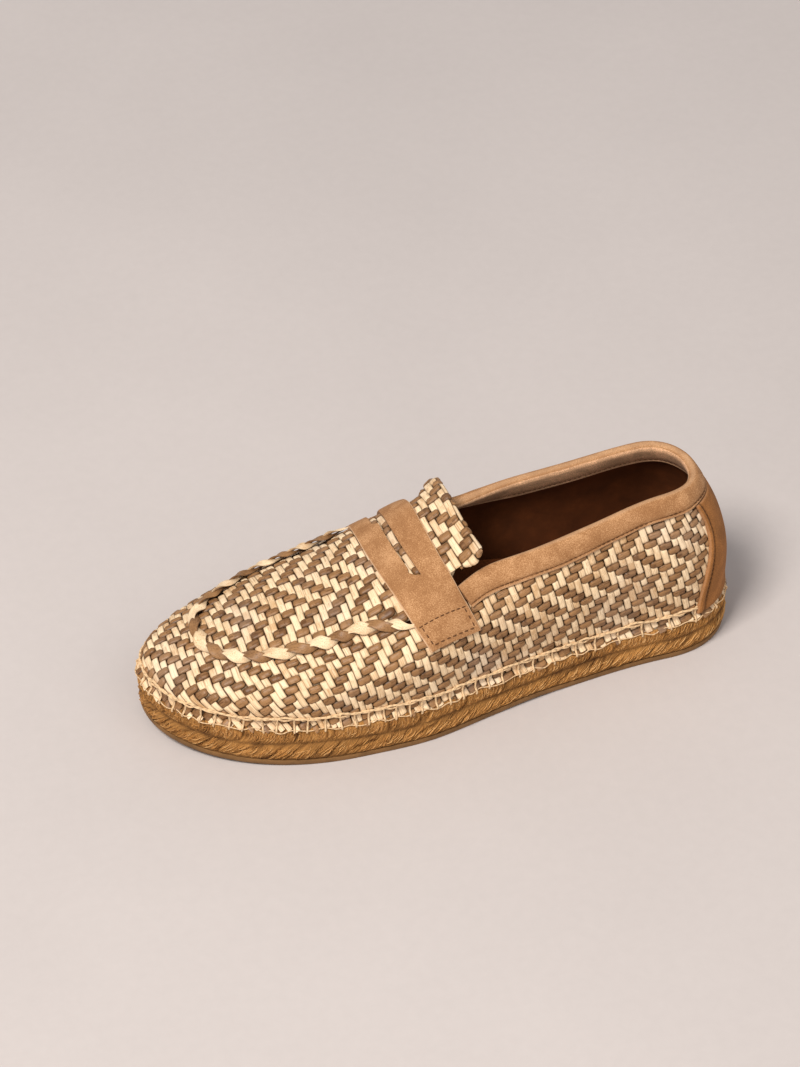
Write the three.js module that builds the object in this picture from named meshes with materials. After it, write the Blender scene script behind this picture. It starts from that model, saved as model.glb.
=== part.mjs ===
import * as THREE from 'three';

// Driving sizes in millimetres: X runs to the toe, Y to the outer side of the foot, Z up.
const soleLength = 285;
const ballLateral = 54.5; // centre line to the outer edge at the ball
const ballMedial = 46.5; // centre line to the inner edge at the ball
const heelWidth = 66;
const heelRound = 0.13; // share of the length over which the heel is round
const toeRound = 0.68; // share of the length where the round toe starts
const heelSquare = 2.25; // exponents of the superellipses round the heel and the toe
const toeSquareOuter = 2.07;
const toeSquareInner = 1.86;
const toeSwing = 3.7; // lean of the toe tip to the inner side
const toeSpring = 4.3;
const archRise = 1;
const rubberThick = 3;
const soleHeight = 23.5; // floor to the line where the upper meets the rope
const ropeOut = 2.2; // how far the rope stands out past the upper
const rubberInset = 0.3; // how far the rubber stays inside the rope
const rubberRound = 0.9; // how far its lower edge is drawn in
const rubberLean = 0.2; // how far its upper edge is drawn in
const ropeLobe = 1.1; // depth of a plait lobe in the side of the rope
const lobePitch = 21;
const collarHeight = 90;
const instepHeight = 77;
const toeHeight = 45;
const counterBulge = 2.5;
const upperWall = 2;
const plugWall = 2;
const weaveDepth = 0.7; // how far the lower strips lie under the raised ones
const creamPitch = 4.6; // strips that run across the foot
const brownPitch = 4.1; // strips that run along the foot
const twillRows = 6; // rows after which the diagonal turns back
const apronShift = 300; // start of the apron's rows, to the inner side of the centre line
const plugHalfWidth = 34;
const plugFront = 258; // heel back to the front of the moccasin seam
const plugRound = 70; // length of the rounded front of the seam
const plugSquare = 2.4; // exponent of its superellipse
const seamGap = 0.9; // between the apron's edge and the seam line
const throat = 144; // heel back to the front end of the opening
const tongueReach = 17; // behind the strap
const tongueRise = 12.5;
const tongueHalfWidth = 31;
const tongueCorner = 8; // radius of the tongue's corners
const tongueFlat = 0.7; // how far the tongue's end is flattened across the foot
const neckFront = 9; // the apron starts to narrow this far in front of the strap's rear edge
const neckRun = 7;
const neckRoom = 2.5; // side room beside the collar
const flareStart = 4; // the tongue spreads from here behind the strap
const flareRun = 8;
const strapWidth = 26;
const strapMiddle = 161; // heel back to the middle of the strap, on the centre line
const strapThick = 1.8;
const strapOuterEnd = 60; // girth from the centre line to the strap's outer end
const strapInnerEnd = 55;
const strapSkew = 0.1;
const strapCurve = 0.0027; // 1/mm
const slotLength = 47;
const slotWidth = 3.4;
const slotNotch = 6.5;
const slotRear = -1.2; // the slot's straight edge, from the strap's middle
const slotTip = 0.16; // share of the half slot over which a tip closes
const notchPlace = 0.8; // share of the half slot where the notch lies
const notchSpread = 0.09;
const bindingDrop = 13.5;
const bindingInside = 12;
const bindingThick = 1.4;
const patchTopHalf = 15;
const patchFootHalf = 25;
const patchThick = 1.6;
const patchFootGap = 0.4; // between the patch and the rope line
const braidWide = 5.8;
const braidTall = 3.9;
const braidPitch = 19; // length of one strand's turn
const braidInset = 4; // how far the braid's ends stay from the strap
const braidTaper = 10; // length over which an end thins out
const braidStation = 3; // spacing of the braid's cross sections
const insoleThick = 3;
const insoleGap = 0.3; // past the clearance from the upper
const insoleSlant = 2.5; // how far its top is drawn in
const clearance = 0.3;

const ringColumns = 132;
const ringRows = 11;
const frontShare = 22 / 35; // share of the apron's round front over which its rows lie close together
const frontStep = 0.6; // least spacing of those rows
const bodyStep = 6; // from them to the evenly spaced rows

const raffia = { color: 0xd9bd93, roughness: 0.62, metalness: 0 };
const suede = { color: 0xb98a5c, roughness: 0.95, metalness: 0 };
const jute = { color: 0xa9793b, roughness: 0.9, metalness: 0 };
const rubber = { color: 0x8a5f34, roughness: 0.7, metalness: 0 };
const liningLeather = { color: 0x5a3a22, roughness: 0.8, metalness: 0 };

// Smooth curve through rows of [place, value]; the slope at each row follows its two chords.
function curveThrough(rows, startSlope, endSlope) {
  const last = rows.length - 1;
  const chord = (i) => (rows[i + 1][1] - rows[i][1]) / (rows[i + 1][0] - rows[i][0]);
  const slope = rows.map((row, i) => {
    if (i === 0) return startSlope ?? chord(0);
    if (i === last) return endSlope ?? chord(last - 1);
    const before = row[0] - rows[i - 1][0];
    const after = rows[i + 1][0] - row[0];
    return (chord(i) * before + chord(i - 1) * after) / (before + after);
  });
  return (place) => {
    let i = 0;
    while (i < last - 1 && place > rows[i + 1][0]) i += 1;
    const span = rows[i + 1][0] - rows[i][0];
    const t = Math.min(1, Math.max(0, (place - rows[i][0]) / span));
    const s = t * t;
    const c = s * t;
    return (2 * c - 3 * s + 1) * rows[i][1] + (c - 2 * s + t) * span * slope[i]
      + (3 * s - 2 * c) * rows[i + 1][1] + (c - s) * span * slope[i + 1];
  };
}

const clamp = (value, low, high) => Math.min(high, Math.max(low, value));
const mix = (a, b, t) => a + (b - a) * t;
const smooth = (t) => clamp(t, 0, 1) ** 2 * (3 - 2 * clamp(t, 0, 1));
const at = (share) => share * soleLength;

const heelEnd = at(heelRound);
const toeStart = at(toeRound);

// Half widths: share of the length, outer side, inner side.
const widthRows = [
  [heelRound, heelWidth / 2, heelWidth / 2],
  [0.3, 0.69 * ballLateral, 0.705 * ballMedial],
  [0.45, 0.845 * ballLateral, 0.86 * ballMedial],
  [0.57, 0.985 * ballLateral, 0.96 * ballMedial],
  [toeRound, ballLateral, ballMedial],
];
const outerHalf = curveThrough(widthRows.map((row) => [at(row[0]), row[1]]), 0, 0);
const innerHalf = curveThrough(widthRows.map((row) => [at(row[0]), row[2]]), 0, 0);
const half = (side, x) => (side > 0 ? outerHalf(x) : innerHalf(x));

// Heights of the closed last along its centre line; behind the throat they only shape the sides.
const crest = curveThrough([
  [at(0), 1.19 * collarHeight],
  [at(0.14), 1.23 * collarHeight],
  [at(0.3), 1.17 * collarHeight],
  [at(0.44), 1.055 * instepHeight],
  [at(0.55), instepHeight],
  [at(0.66), 0.84 * instepHeight],
  [at(0.78), 0.745 * instepHeight],
  [at(0.9), 1.1 * toeHeight],
  [at(1), toeHeight],
]);
const featherRise = curveThrough([
  [at(0), 0.97 * soleHeight],
  [at(0.2), 0.96 * soleHeight],
  [at(0.6), soleHeight],
  [at(0.8), 1.05 * soleHeight],
  [at(1), 0.98 * soleHeight],
]);
// How square a cross section is.
const roundness = curveThrough([
  [at(0), 1.85],
  [at(0.3), 2.05],
  [at(0.55), 2.85],
  [at(0.75), 2.3],
  [at(1), 2.2],
]);
const spring = (x) => toeSpring * clamp((x - at(0.7)) / at(0.3), 0, 1) ** 2;
const arch = (x) => archRise * Math.sin(Math.PI * clamp((x - at(0.28)) / at(0.2), 0, 1)) ** 2;
const bend = (x) => -toeSwing * clamp((x - toeStart) / (soleLength - toeStart), 0, 1) ** 2;
const feather = (x) => featherRise(x) + spring(x);
const ground = (x) => spring(x) + arch(x);

// Place in the object's frame: the origin is on the floor at mid length.
const place = (x, side, z) => new THREE.Vector3(x - soleLength / 2, side + bend(x), z);

// Plan outline of the feather line on one side, walked from the heel back to the toe tip.
function walkOutline(side) {
  const steps = 900;
  const points = [];
  const square = side > 0 ? toeSquareOuter : toeSquareInner;
  for (let i = 0; i <= steps; i += 1) {
    const k = i / steps;
    if (k < 0.3) {
      const turn = (k / 0.3) * Math.PI / 2;
      const x = heelEnd - heelEnd * Math.cos(turn) ** (2 / heelSquare);
      points.push({ x, out: (heelWidth / 2) * Math.sin(turn) ** (2 / heelSquare), centre: heelEnd });
    } else if (k < 0.6) {
      const x = mix(heelEnd, toeStart, (k - 0.3) / 0.3);
      points.push({ x, out: half(side, x), centre: x });
    } else {
      const turn = ((k - 0.6) / 0.4) * Math.PI / 2;
      const x = toeStart + (soleLength - toeStart) * Math.abs(Math.sin(turn)) ** (2 / square);
      const out = half(side, toeStart) * Math.abs(Math.cos(turn)) ** (2 / square);
      points.push({ x, out: i === steps ? 0 : out, centre: toeStart });
    }
  }
  let walked = 0;
  points.forEach((point, i) => {
    const before = points[Math.max(0, i - 1)];
    walked += Math.hypot(point.x - before.x, point.out - before.out);
    point.walked = walked;
  });
  return points;
}
const outlines = { 1: walkOutline(1), '-1': walkOutline(-1) };

function lookUp(points, key, wanted) {
  let low = 0;
  let high = points.length - 1;
  while (high - low > 1) {
    const middle = (low + high) >> 1;
    if (points[middle][key] <= wanted) low = middle;
    else high = middle;
  }
  const span = points[high][key] - points[low][key];
  const t = span > 1e-9 ? clamp((wanted - points[low][key]) / span, 0, 1) : 0;
  const mixed = {};
  for (const name of Object.keys(points[low])) mixed[name] = mix(points[low][name], points[high][name], t);
  return mixed;
}

// The ring coordinate runs 0 at the heel back, 0.25 outer side, 0.5 toe tip, 0.75 inner side.
function rim(ring) {
  const turn = ring - Math.floor(ring);
  const side = turn < 0.5 ? 1 : -1;
  const points = outlines[side];
  const share = side > 0 ? 2 * turn : 2 - 2 * turn;
  const point = lookUp(points, 'walked', share * points[points.length - 1].walked);
  return { side, ...point };
}
function ringAt(side, x) {
  const points = outlines[side];
  const share = lookUp(points, 'x', x).walked / points[points.length - 1].walked;
  return side > 0 ? share / 2 : 1 - share / 2;
}

// Half width of the moccasin seam, outer and inner side, as shares of the plug's half width:
// it spreads towards the strap and closes round the front.
const seamCentre = plugFront - plugRound;
const seamRows = [
  [throat, 1, 0.86],
  [mix(throat, seamCentre, 0.5), 1.24, 1.08],
  [mix(throat, seamCentre, 0.78), 1.1, 1.04],
  [seamCentre, 1, 1],
];
const seamOuter = curveThrough(seamRows.map((row) => [row[0], row[1] * plugHalfWidth]), undefined, 0);
const seamInner = curveThrough(seamRows.map((row) => [row[0], row[2] * plugHalfWidth]), undefined, 0);
function seamEdge(x, side) {
  if (x >= plugFront) return plugFront - x;
  if (x <= seamCentre) return side > 0 ? seamOuter(x) : seamInner(x);
  const run = (x - seamCentre) / plugRound;
  return plugHalfWidth * (1 - run ** plugSquare) ** (1 / plugSquare);
}

// Height of the bare last over a plan point.
function heightAt(x, out) {
  const side = out >= 0 ? 1 : -1;
  const width = half(side, clamp(x, heelEnd, toeStart));
  const across = Math.abs(out) / width;
  const square = side > 0 ? toeSquareOuter : toeSquareInner;
  const ahead = clamp((x - toeStart) / (soleLength - toeStart), 0, 1);
  const rho = x > toeStart ? (ahead ** square + across ** square) ** (1 / square) : across;
  const n = roundness(x);
  const rise = Math.max(0, 1 - Math.min(1, rho) ** n) ** (1 / n);
  return featherRise(x) + (crest(x) - featherRise(x)) * rise + spring(x);
}

// Top edge of the sides: the collar's height behind the throat, the seam in front of it.
const toplines = [1, -1].map((side) => curveThrough([
  [at(0), 0.975 * collarHeight],
  [at(0.1), 1.01 * collarHeight],
  [at(0.25), 0.95 * collarHeight],
  [at(0.4), 0.872 * collarHeight],
  [throat, heightAt(throat, side * seamEdge(throat, side))],
]));
const topline = (x, side) => toplines[side > 0 ? 0 : 1](x);

function riseToHeight(x, z) {
  const low = feather(x);
  const share = clamp((z - low) / (crest(x) + spring(x) - low), 0, 0.999);
  return Math.asin(share ** (roundness(x) / 2));
}
function topRise(foot) {
  if (foot.x < throat) {
    let x = foot.x;
    let phi = 0;
    for (let pass = 0; pass < 6; pass += 1) {
      phi = riseToHeight(x, topline(x, foot.side));
      x = foot.centre + Math.cos(phi) ** (2 / roundness(x)) * (foot.x - foot.centre);
    }
    return phi;
  }
  let low = 0;
  let high = 1;
  for (let pass = 0; pass < 30; pass += 1) {
    const rho = (low + high) / 2;
    const x = foot.centre + rho * (foot.x - foot.centre);
    if (seamEdge(x, foot.side) > rho * foot.out) low = rho;
    else high = rho;
  }
  const x = foot.centre + low * (foot.x - foot.centre);
  return Math.acos(Math.min(1, low ** (roundness(x) / 2)));
}

// A point of the last: phi is 0 at the feather line and a quarter turn on the centre line.
function fanPoint(foot, phi, top) {
  let x = foot.x;
  let rho = 1;
  for (let pass = 0; pass < 4; pass += 1) {
    rho = Math.abs(Math.cos(phi)) ** (2 / roundness(x));
    x = foot.centre + rho * (foot.x - foot.centre);
  }
  const rise = Math.abs(Math.sin(phi)) ** (2 / roundness(x));
  const z = featherRise(x) + (crest(x) - featherRise(x)) * rise + spring(x);
  const reach = Math.hypot(foot.x - foot.centre, foot.out);
  const bulge = phi < top ? counterBulge * Math.sin(Math.PI * phi / top) ** 2 : 0;
  const px = x + bulge * (foot.x - foot.centre) / reach;
  const out = rho * foot.out + bulge * foot.out / reach;
  return place(px, foot.side * out, z);
}

const topSteps = 560;
const tops = [];
for (let i = 0; i <= topSteps; i += 1) tops.push(topRise(rim(i / topSteps % 1)));
function topAt(ring) {
  const turn = (ring - Math.floor(ring)) * topSteps;
  const i = Math.min(topSteps - 1, Math.floor(turn));
  return mix(tops[i], tops[i + 1], turn - i);
}

function onLast(ring, phi) {
  return fanPoint(rim(ring), phi, topAt(ring));
}

// The same point moved out along the surface's own normal.
function skin(ring, phi, out) {
  const point = onLast(ring, phi);
  if (out === 0) return point;
  return point.addScaledVector(normalAt(ring, phi), out);
}
function normalAt(ring, phi) {
  const low = Math.max(0, phi - 0.01);
  const along = onLast(ring + 0.0015, phi).sub(onLast(ring - 0.0015, phi));
  const up = onLast(ring, low + 0.02).sub(onLast(ring, low));
  return up.cross(along).normalize();
}

// Rises that cut one column into equal lengths of girth, measured down from the top edge.
function girthTable(ring) {
  const steps = 48;
  const top = topAt(ring);
  const table = [{ down: 0, phi: top }];
  let before = onLast(ring, top);
  let down = 0;
  for (let i = 1; i <= steps; i += 1) {
    const phi = top * (1 - i / steps);
    const point = onLast(ring, phi);
    down += point.distanceTo(before);
    table.push({ down, phi });
    before = point;
  }
  return table;
}

// One closed mesh from points and faces; walls are added along open edges of a sheet.
function bodyFrom(points, faces) {
  const geometry = new THREE.BufferGeometry();
  const numbers = points.flatMap((p) => [p.x, p.y, p.z]);
  geometry.setAttribute('position', new THREE.Float32BufferAttribute(numbers, 3));
  geometry.setIndex(faces.flat());
  geometry.computeVertexNormals();
  return geometry;
}
function split(quad) {
  return quad.length === 3 ? [quad] : [[quad[0], quad[1], quad[2]], [quad[0], quad[2], quad[3]]];
}
function sheetBody(topPoints, footPoints, quads) {
  const count = topPoints.length;
  const faces = [];
  const edges = new Map();
  for (const quad of quads) {
    for (const [a, b, c] of split(quad)) {
      faces.push([a, b, c], [c + count, b + count, a + count]);
    }
    quad.forEach((a, i) => {
      const b = quad[(i + 1) % quad.length];
      if (edges.has(`${b} ${a}`)) edges.delete(`${b} ${a}`);
      else edges.set(`${a} ${b}`, [a, b]);
    });
  }
  for (const [a, b] of edges.values()) faces.push([b, a, a + count], [b, a + count, b + count]);
  return bodyFrom([...topPoints, ...footPoints], faces);
}

// Loops of points joined into a body: closed like a ring, or with a flat cap on each end.
function loopBody(loops, ringClosed, endFaces) {
  const size = loops[0].length;
  const faces = [];
  const spans = ringClosed ? loops.length : loops.length - 1;
  for (let i = 0; i < spans; i += 1) {
    const next = (i + 1) % loops.length;
    for (let j = 0; j < size; j += 1) {
      const k = (j + 1) % size;
      faces.push(...split([i * size + j, i * size + k, next * size + k, next * size + j]));
    }
  }
  const points = loops.flat();
  if (!ringClosed) {
    const end = (loops.length - 1) * size;
    faces.push(...(endFaces ?? capFaces(loops[0])));
    for (const [a, b, c] of endFaces ?? capFaces(loops[loops.length - 1])) {
      faces.push([end + c, end + b, end + a]);
    }
  }
  return bodyFrom(points, faces);
}
// Triangles over one end loop, found in the plane that fits it best.
function capFaces(loop) {
  const centre = loop.reduce((sum, p) => sum.add(p), new THREE.Vector3()).divideScalar(loop.length);
  const normal = new THREE.Vector3();
  loop.forEach((p, i) => {
    const q = loop[(i + 1) % loop.length];
    normal.add(p.clone().sub(centre).cross(q.clone().sub(centre)));
  });
  normal.normalize();
  const across = loop[0].clone().sub(centre);
  across.addScaledVector(normal, -across.dot(normal)).normalize();
  const up = normal.clone().cross(across);
  const flat = loop.map((p) => {
    const arm = p.clone().sub(centre);
    return new THREE.Vector2(arm.dot(across), arm.dot(up));
  });
  return THREE.ShapeUtils.triangulateShape(flat, []).map(([a, b, c]) => [c, b, a]);
}

// Raised and lower strips of the weave, as a twill whose diagonal turns back every six strips.
function weaveSink(along, across) {
  const rows = across / brownPitch;
  const period = 2 * twillRows;
  const fold = Math.abs(((rows % period) + period) % period - twillRows);
  return -weaveDepth * (0.5 - 0.5 * Math.sin((Math.PI / 2) * (along / creamPitch + fold)));
}

function upperBody() {
  const loops = [];
  const innerDrops = [0, 0.5 * bindingDrop, bindingDrop, 0.55, 1];
  for (let i = 0; i < ringColumns; i += 1) {
    const ring = i / ringColumns;
    const table = girthTable(ring);
    const girth = table[table.length - 1].down;
    const foot = rim(ring);
    const loop = [];
    for (let j = 0; j <= ringRows; j += 1) {
      const { phi } = lookUp(table, 'down', girth * (1 - j / ringRows));
      const edge = j === 0 || j === ringRows;
      const sink = weaveSink(foot.side * foot.walked, girth * j / ringRows);
      loop.push(skin(ring, phi, edge ? 0 : sink));
    }
    innerDrops.forEach((drop, j) => {
      const low = Math.max(0.55 * girth, Math.min(bindingDrop, 0.5 * girth) + 2);
      const down = [0, Math.min(drop, 0.25 * girth), Math.min(drop, 0.5 * girth), low, girth][j];
      const { phi } = lookUp(table, 'down', down);
      const point = skin(ring, phi, -upperWall);
      if (j === innerDrops.length - 1) point.z = loop[0].z;
      loop.push(point);
    });
    loops.push(loop);
  }
  return loopBody(loops, true);
}

// A full disc of the sole: loops of one size from the bottom up, closed by ladders across the width.
function discBody(loops) {
  const size = loops[0].length;
  const faces = [];
  for (let i = 0; i < loops.length - 1; i += 1) {
    for (let j = 0; j < size; j += 1) {
      const k = (j + 1) % size;
      faces.push(...split([i * size + j, (i + 1) * size + j, (i + 1) * size + k, i * size + k]));
    }
  }
  const top = (loops.length - 1) * size;
  for (let i = 0; i < size / 2; i += 1) {
    const corners = [i, (size - i) % size, size - i - 1, i + 1];
    const rung = corners.filter((corner, j) => corners.indexOf(corner) === j);
    for (const [a, b, c] of split(rung)) {
      faces.push([top + a, top + b, top + c], [c, b, a]);
    }
  }
  return bodyFrom(loops.flat(), faces);
}
// The feather line moved out in plan, at a height that follows the place along the sole.
function ringLoop(columns, outAt, heightOf) {
  const loop = [];
  for (let i = 0; i < columns; i += 1) {
    const ring = i / columns;
    const foot = rim(ring);
    const point = onLast(ring, 0);
    const next = onLast(ring + 0.001, 0).sub(onLast(ring - 0.001, 0));
    const away = new THREE.Vector3(-next.y, next.x, 0).normalize();
    point.addScaledVector(away, outAt(foot.side * foot.walked));
    point.z = heightOf(clamp(point.x + soleLength / 2, 0, soleLength));
    loop.push(point);
  }
  return loop;
}

const rubberTop = (x) => ground(x) + rubberThick;
const ropeFoot = (x) => rubberTop(x) + clearance;
const ropeTop = (x) => feather(x) - clearance;

function outsoleBody() {
  const edge = ropeOut - rubberInset;
  const columns = ringColumns / 2;
  return discBody([
    ringLoop(columns, () => edge - rubberRound, ground),
    ringLoop(columns, () => edge, (x) => ground(x) + 0.3 * rubberThick),
    ringLoop(columns, () => edge - rubberLean, rubberTop),
  ]);
}

// Side of the rope sole: height share, stand-out share, and the row of the plait it belongs to.
const ropeProfile = [
  [0, -0.5, 0],
  [0.13, 0.35, 0],
  [0.33, 0.45, 0],
  [0.49, -0.75, -1],
  [0.64, 0.4, 1],
  [0.86, 0.3, 1],
  [1, -0.6, 1],
];
function ropeBody() {
  return discBody(ropeProfile.map(([share, stand, row]) => {
    const out = (walked) => {
      const lobe = Math.abs(Math.sin(Math.PI * (walked / lobePitch + 0.5 * row)));
      return ropeOut + stand - (row < 0 ? 0 : ropeLobe * (1 - lobe) ** 2);
    };
    return ringLoop(ringColumns, out, (x) => mix(ropeFoot(x), ropeTop(x), share));
  }));
}
function insoleBody() {
  const gap = upperWall + clearance;
  const columns = ringColumns / 2;
  return discBody([
    ringLoop(columns, () => -gap - insoleGap, feather),
    ringLoop(columns, () => -gap - insoleGap - insoleSlant, (x) => feather(x) + insoleThick),
  ]);
}

// Cross sections near the strap, measured by girth from the centre line, outer side positive.
const sections = new Map();
function sectionTable(x, side) {
  const key = `${x.toFixed(2)} ${side}`;
  if (!sections.has(key)) {
    const foot = { side, x, out: half(side, x), centre: x };
    const top = topAt(ringAt(side, x));
    const table = [];
    let before = fanPoint(foot, Math.PI / 2, top);
    let down = 0;
    for (let i = 0; i <= 90; i += 1) {
      const phi = (Math.PI / 2) * (1 - i / 90);
      const point = fanPoint(foot, phi, top);
      down += point.distanceTo(before);
      table.push({ down, phi });
      before = point;
    }
    sections.set(key, { foot, top, table });
  }
  return sections.get(key);
}
function across(x, girth) {
  const { foot, top, table } = sectionTable(x, girth >= 0 ? 1 : -1);
  return fanPoint(foot, lookUp(table, 'down', Math.abs(girth)).phi, top);
}
function acrossNormal(x, girth) {
  const along = across(x + 1.5, girth).sub(across(x - 1.5, girth));
  const sideways = across(x, girth + 1.5).sub(across(x, girth - 1.5));
  return along.cross(sideways).normalize();
}

const strapDrift = (girth) => -strapSkew * girth - strapCurve * girth * girth;
const strapRear = (girth) => strapMiddle - strapWidth / 2 + strapDrift(girth);
const strapFront = (girth) => strapMiddle + strapWidth / 2 + strapDrift(girth);

// Slot of the strap: straight rear edge, front edge that swells to a notch near each tip.
function slotFront(share) {
  const tip = clamp((1 - Math.abs(share)) / slotTip, 0, 1);
  const swell = Math.exp(-(((Math.abs(share) - notchPlace) / notchSpread) ** 2));
  return (slotWidth + (slotNotch - slotWidth) * swell) * Math.sin(tip * Math.PI / 2) ** 0.7;
}
function strapBody() {
  const rows = [];
  const ends = 7;
  const slotRows = 16;
  const halfSlot = slotLength / 2;
  for (let i = 0; i < ends; i += 1) rows.push(mix(-strapInnerEnd, -halfSlot, i / ends));
  for (let i = 0; i <= slotRows; i += 1) rows.push(-halfSlot * Math.cos(Math.PI * i / slotRows));
  for (let i = 1; i <= ends; i += 1) rows.push(mix(halfSlot, strapOuterEnd, i / ends));
  const bandCells = 3;
  const top = [];
  const foot = [];
  const quads = [];
  const index = rows.map((girth) => {
    const open = Math.abs(girth) < halfSlot - 1e-6;
    const front = open ? slotRear + slotFront(girth / halfSlot) : slotRear;
    const places = [];
    for (let j = 0; j <= bandCells; j += 1) places.push(mix(-strapWidth / 2, slotRear, j / bandCells));
    for (let j = open ? 0 : 1; j <= bandCells; j += 1) {
      places.push(mix(front, strapWidth / 2, j / bandCells));
    }
    const line = places.map((wide) => {
      const x = strapMiddle + strapDrift(girth) + wide;
      const normal = acrossNormal(x, girth);
      top.push(across(x, girth).addScaledVector(normal, clearance + strapThick));
      foot.push(across(x, girth).addScaledVector(normal, clearance));
      return top.length - 1;
    });
    const rearLine = line.slice(0, bandCells + 1);
    const frontLine = open ? line.slice(bandCells + 1) : [rearLine[bandCells], ...line.slice(bandCells + 1)];
    return [rearLine, frontLine];
  });
  for (let i = 0; i < index.length - 1; i += 1) {
    for (const band of [0, 1]) {
      for (let j = 0; j < bandCells; j += 1) {
        const [here, next] = [index[i][band], index[i + 1][band]];
        quads.push([here[j], here[j + 1], next[j + 1], next[j]]);
      }
    }
  }
  return sheetBody(top, foot, quads);
}

// The moccasin plug runs on under the strap and stands up behind it as the tongue.
const tongueEnd = strapMiddle - strapWidth / 2 - tongueReach;
function plugHalf(row, x, side) {
  const behind = strapMiddle - strapWidth / 2 - row;
  const collarRoom = upperWall + bindingThick + 3 * clearance;
  const root = seamEdge(throat, side) - collarRoom - neckRoom;
  const seam = Math.max(2, seamEdge(x, side) - seamGap);
  if (behind < -neckFront) return seam;
  if (behind < 0) return mix(seam, root, smooth((behind + neckFront) / neckRun));
  const left = clamp(tongueCorner - (row - tongueEnd), 0, tongueCorner);
  const round = tongueCorner - Math.sqrt(tongueCorner ** 2 - left ** 2);
  return mix(root, tongueHalfWidth, smooth((behind - flareStart) / flareRun)) - round;
}
function plugPoint(row, share) {
  const follow = smooth((strapMiddle + strapWidth - row) / strapWidth);
  let x = row;
  let out = 0;
  for (let pass = 0; pass < 5; pass += 1) {
    out = share * plugHalf(row, x, Math.sign(share));
    x = row + follow * strapDrift(out * 1.06);
  }
  const behind = strapMiddle - strapWidth / 2 - row;
  const raised = clamp(behind / tongueReach, 0, 1);
  const flatten = tongueFlat * smooth(behind / tongueReach);
  const low = heightAt(x, out);
  const high = heightAt(x, 0);
  const z = mix(low, high, flatten) + tongueRise * raised ** 1.2;
  return place(x, out, z);
}
function plugNormal(row, share) {
  const along = plugPoint(row + 0.5, share).sub(plugPoint(row - 0.5, share));
  const sideways = plugPoint(row, share + 0.02).sub(plugPoint(row, share - 0.02));
  return along.cross(sideways).normalize();
}
function plugBody() {
  const columns = 12;
  const rows = [];
  const frontRows = 9;
  const frontReach = frontShare * plugRound;
  for (let i = 0; i < frontRows; i += 1) {
    const eased = 1 - Math.cos((i / frontRows) * Math.PI / 2);
    rows.push(plugFront - seamGap / 2 - frontReach * eased - frontStep * i);
  }
  const bodyRows = 9;
  const bodyStart = rows[rows.length - 1] - bodyStep;
  const tongueStart = strapMiddle - strapWidth / 2;
  for (let i = 0; i <= bodyRows; i += 1) rows.push(mix(bodyStart, tongueStart, i / bodyRows));
  const tongueShares = [0.18, 0.36, 0.54, 0.72, 0.86, 0.95, 0.99];
  tongueShares.forEach((share) => rows.push(mix(tongueStart, tongueEnd, share)));
  const top = [];
  const foot = [];
  const quads = [];
  rows.forEach((row, i) => {
    for (let j = 0; j <= columns; j += 1) {
      const share = 2 * j / columns - 1;
      const point = plugPoint(row, share);
      const normal = plugNormal(row, share);
      const edge = i === 0 || i === rows.length - 1 || j === 0 || j === columns;
      top.push(point.clone().addScaledVector(normal, edge ? 0 : weaveSink(row, point.y + apronShift)));
      foot.push(point.clone().addScaledVector(normal, -plugWall));
      if (i > 0 && j > 0) {
        const here = i * (columns + 1) + j;
        quads.push([here, here - 1, here - columns - 2, here - columns - 1]);
      }
    }
  });
  return sheetBody(top, foot, quads);
}

// Leather round the collar, folded over the edge: girth down from the edge, stand-out.
function bindingBody() {
  const low = clearance;
  const high = clearance + bindingThick;
  const back = -upperWall - clearance;
  const deep = back - bindingThick;
  const profile = [
    [bindingDrop, high],
    [0.5 * bindingDrop, high + 1.4 * clearance],
    [0.6, high],
    [-0.75 * high, 0.45 * high],
    [-high, -0.5 * upperWall],
    [-0.75 * high, -upperWall - 0.45 * high],
    [0.6, deep],
    [0.5 * bindingInside, deep - 0.5 * clearance],
    [bindingInside, deep],
    [bindingInside, back],
    [0.5 * bindingInside, back - 0.5 * clearance],
    [-low, back - 0.2 * clearance],
    [-low, 1.3 * clearance],
    [0.5 * bindingDrop, 2.6 * clearance],
    [bindingDrop, low],
  ];
  const endQuads = [
    [14, 13, 1, 0], [13, 12, 2, 1], [12, 3, 2], [12, 4, 3],
    [12, 11, 5, 4], [11, 6, 5], [11, 10, 7, 6], [10, 9, 8, 7],
  ];
  const columns = 40;
  const ends = profile.map(([down, out]) => {
    const inside = out < -upperWall / 2 - 0.1;
    return [1, -1].map((side) => {
      const girth = seamEdge(throat, side) + Math.max(0, inside ? 0 : down);
      return ringAt(side, strapRear(side * girth) - 3 * clearance);
    });
  });
  const loops = [];
  for (let i = 0; i <= columns; i += 1) {
    loops.push(profile.map(([down, out], j) => {
      const ring = mix(ends[j][1] - 1, ends[j][0], i / columns);
      const top = topAt(ring);
      if (down >= 0) return skin(ring, lookUp(girthTable(ring), 'down', down).phi, out);
      const up = onLast(ring, top).sub(onLast(ring, top - 0.03)).normalize();
      return skin(ring, top, out).addScaledVector(up, -down);
    }));
  }
  return loopBody(loops, false, endQuads.flatMap(split));
}

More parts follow.
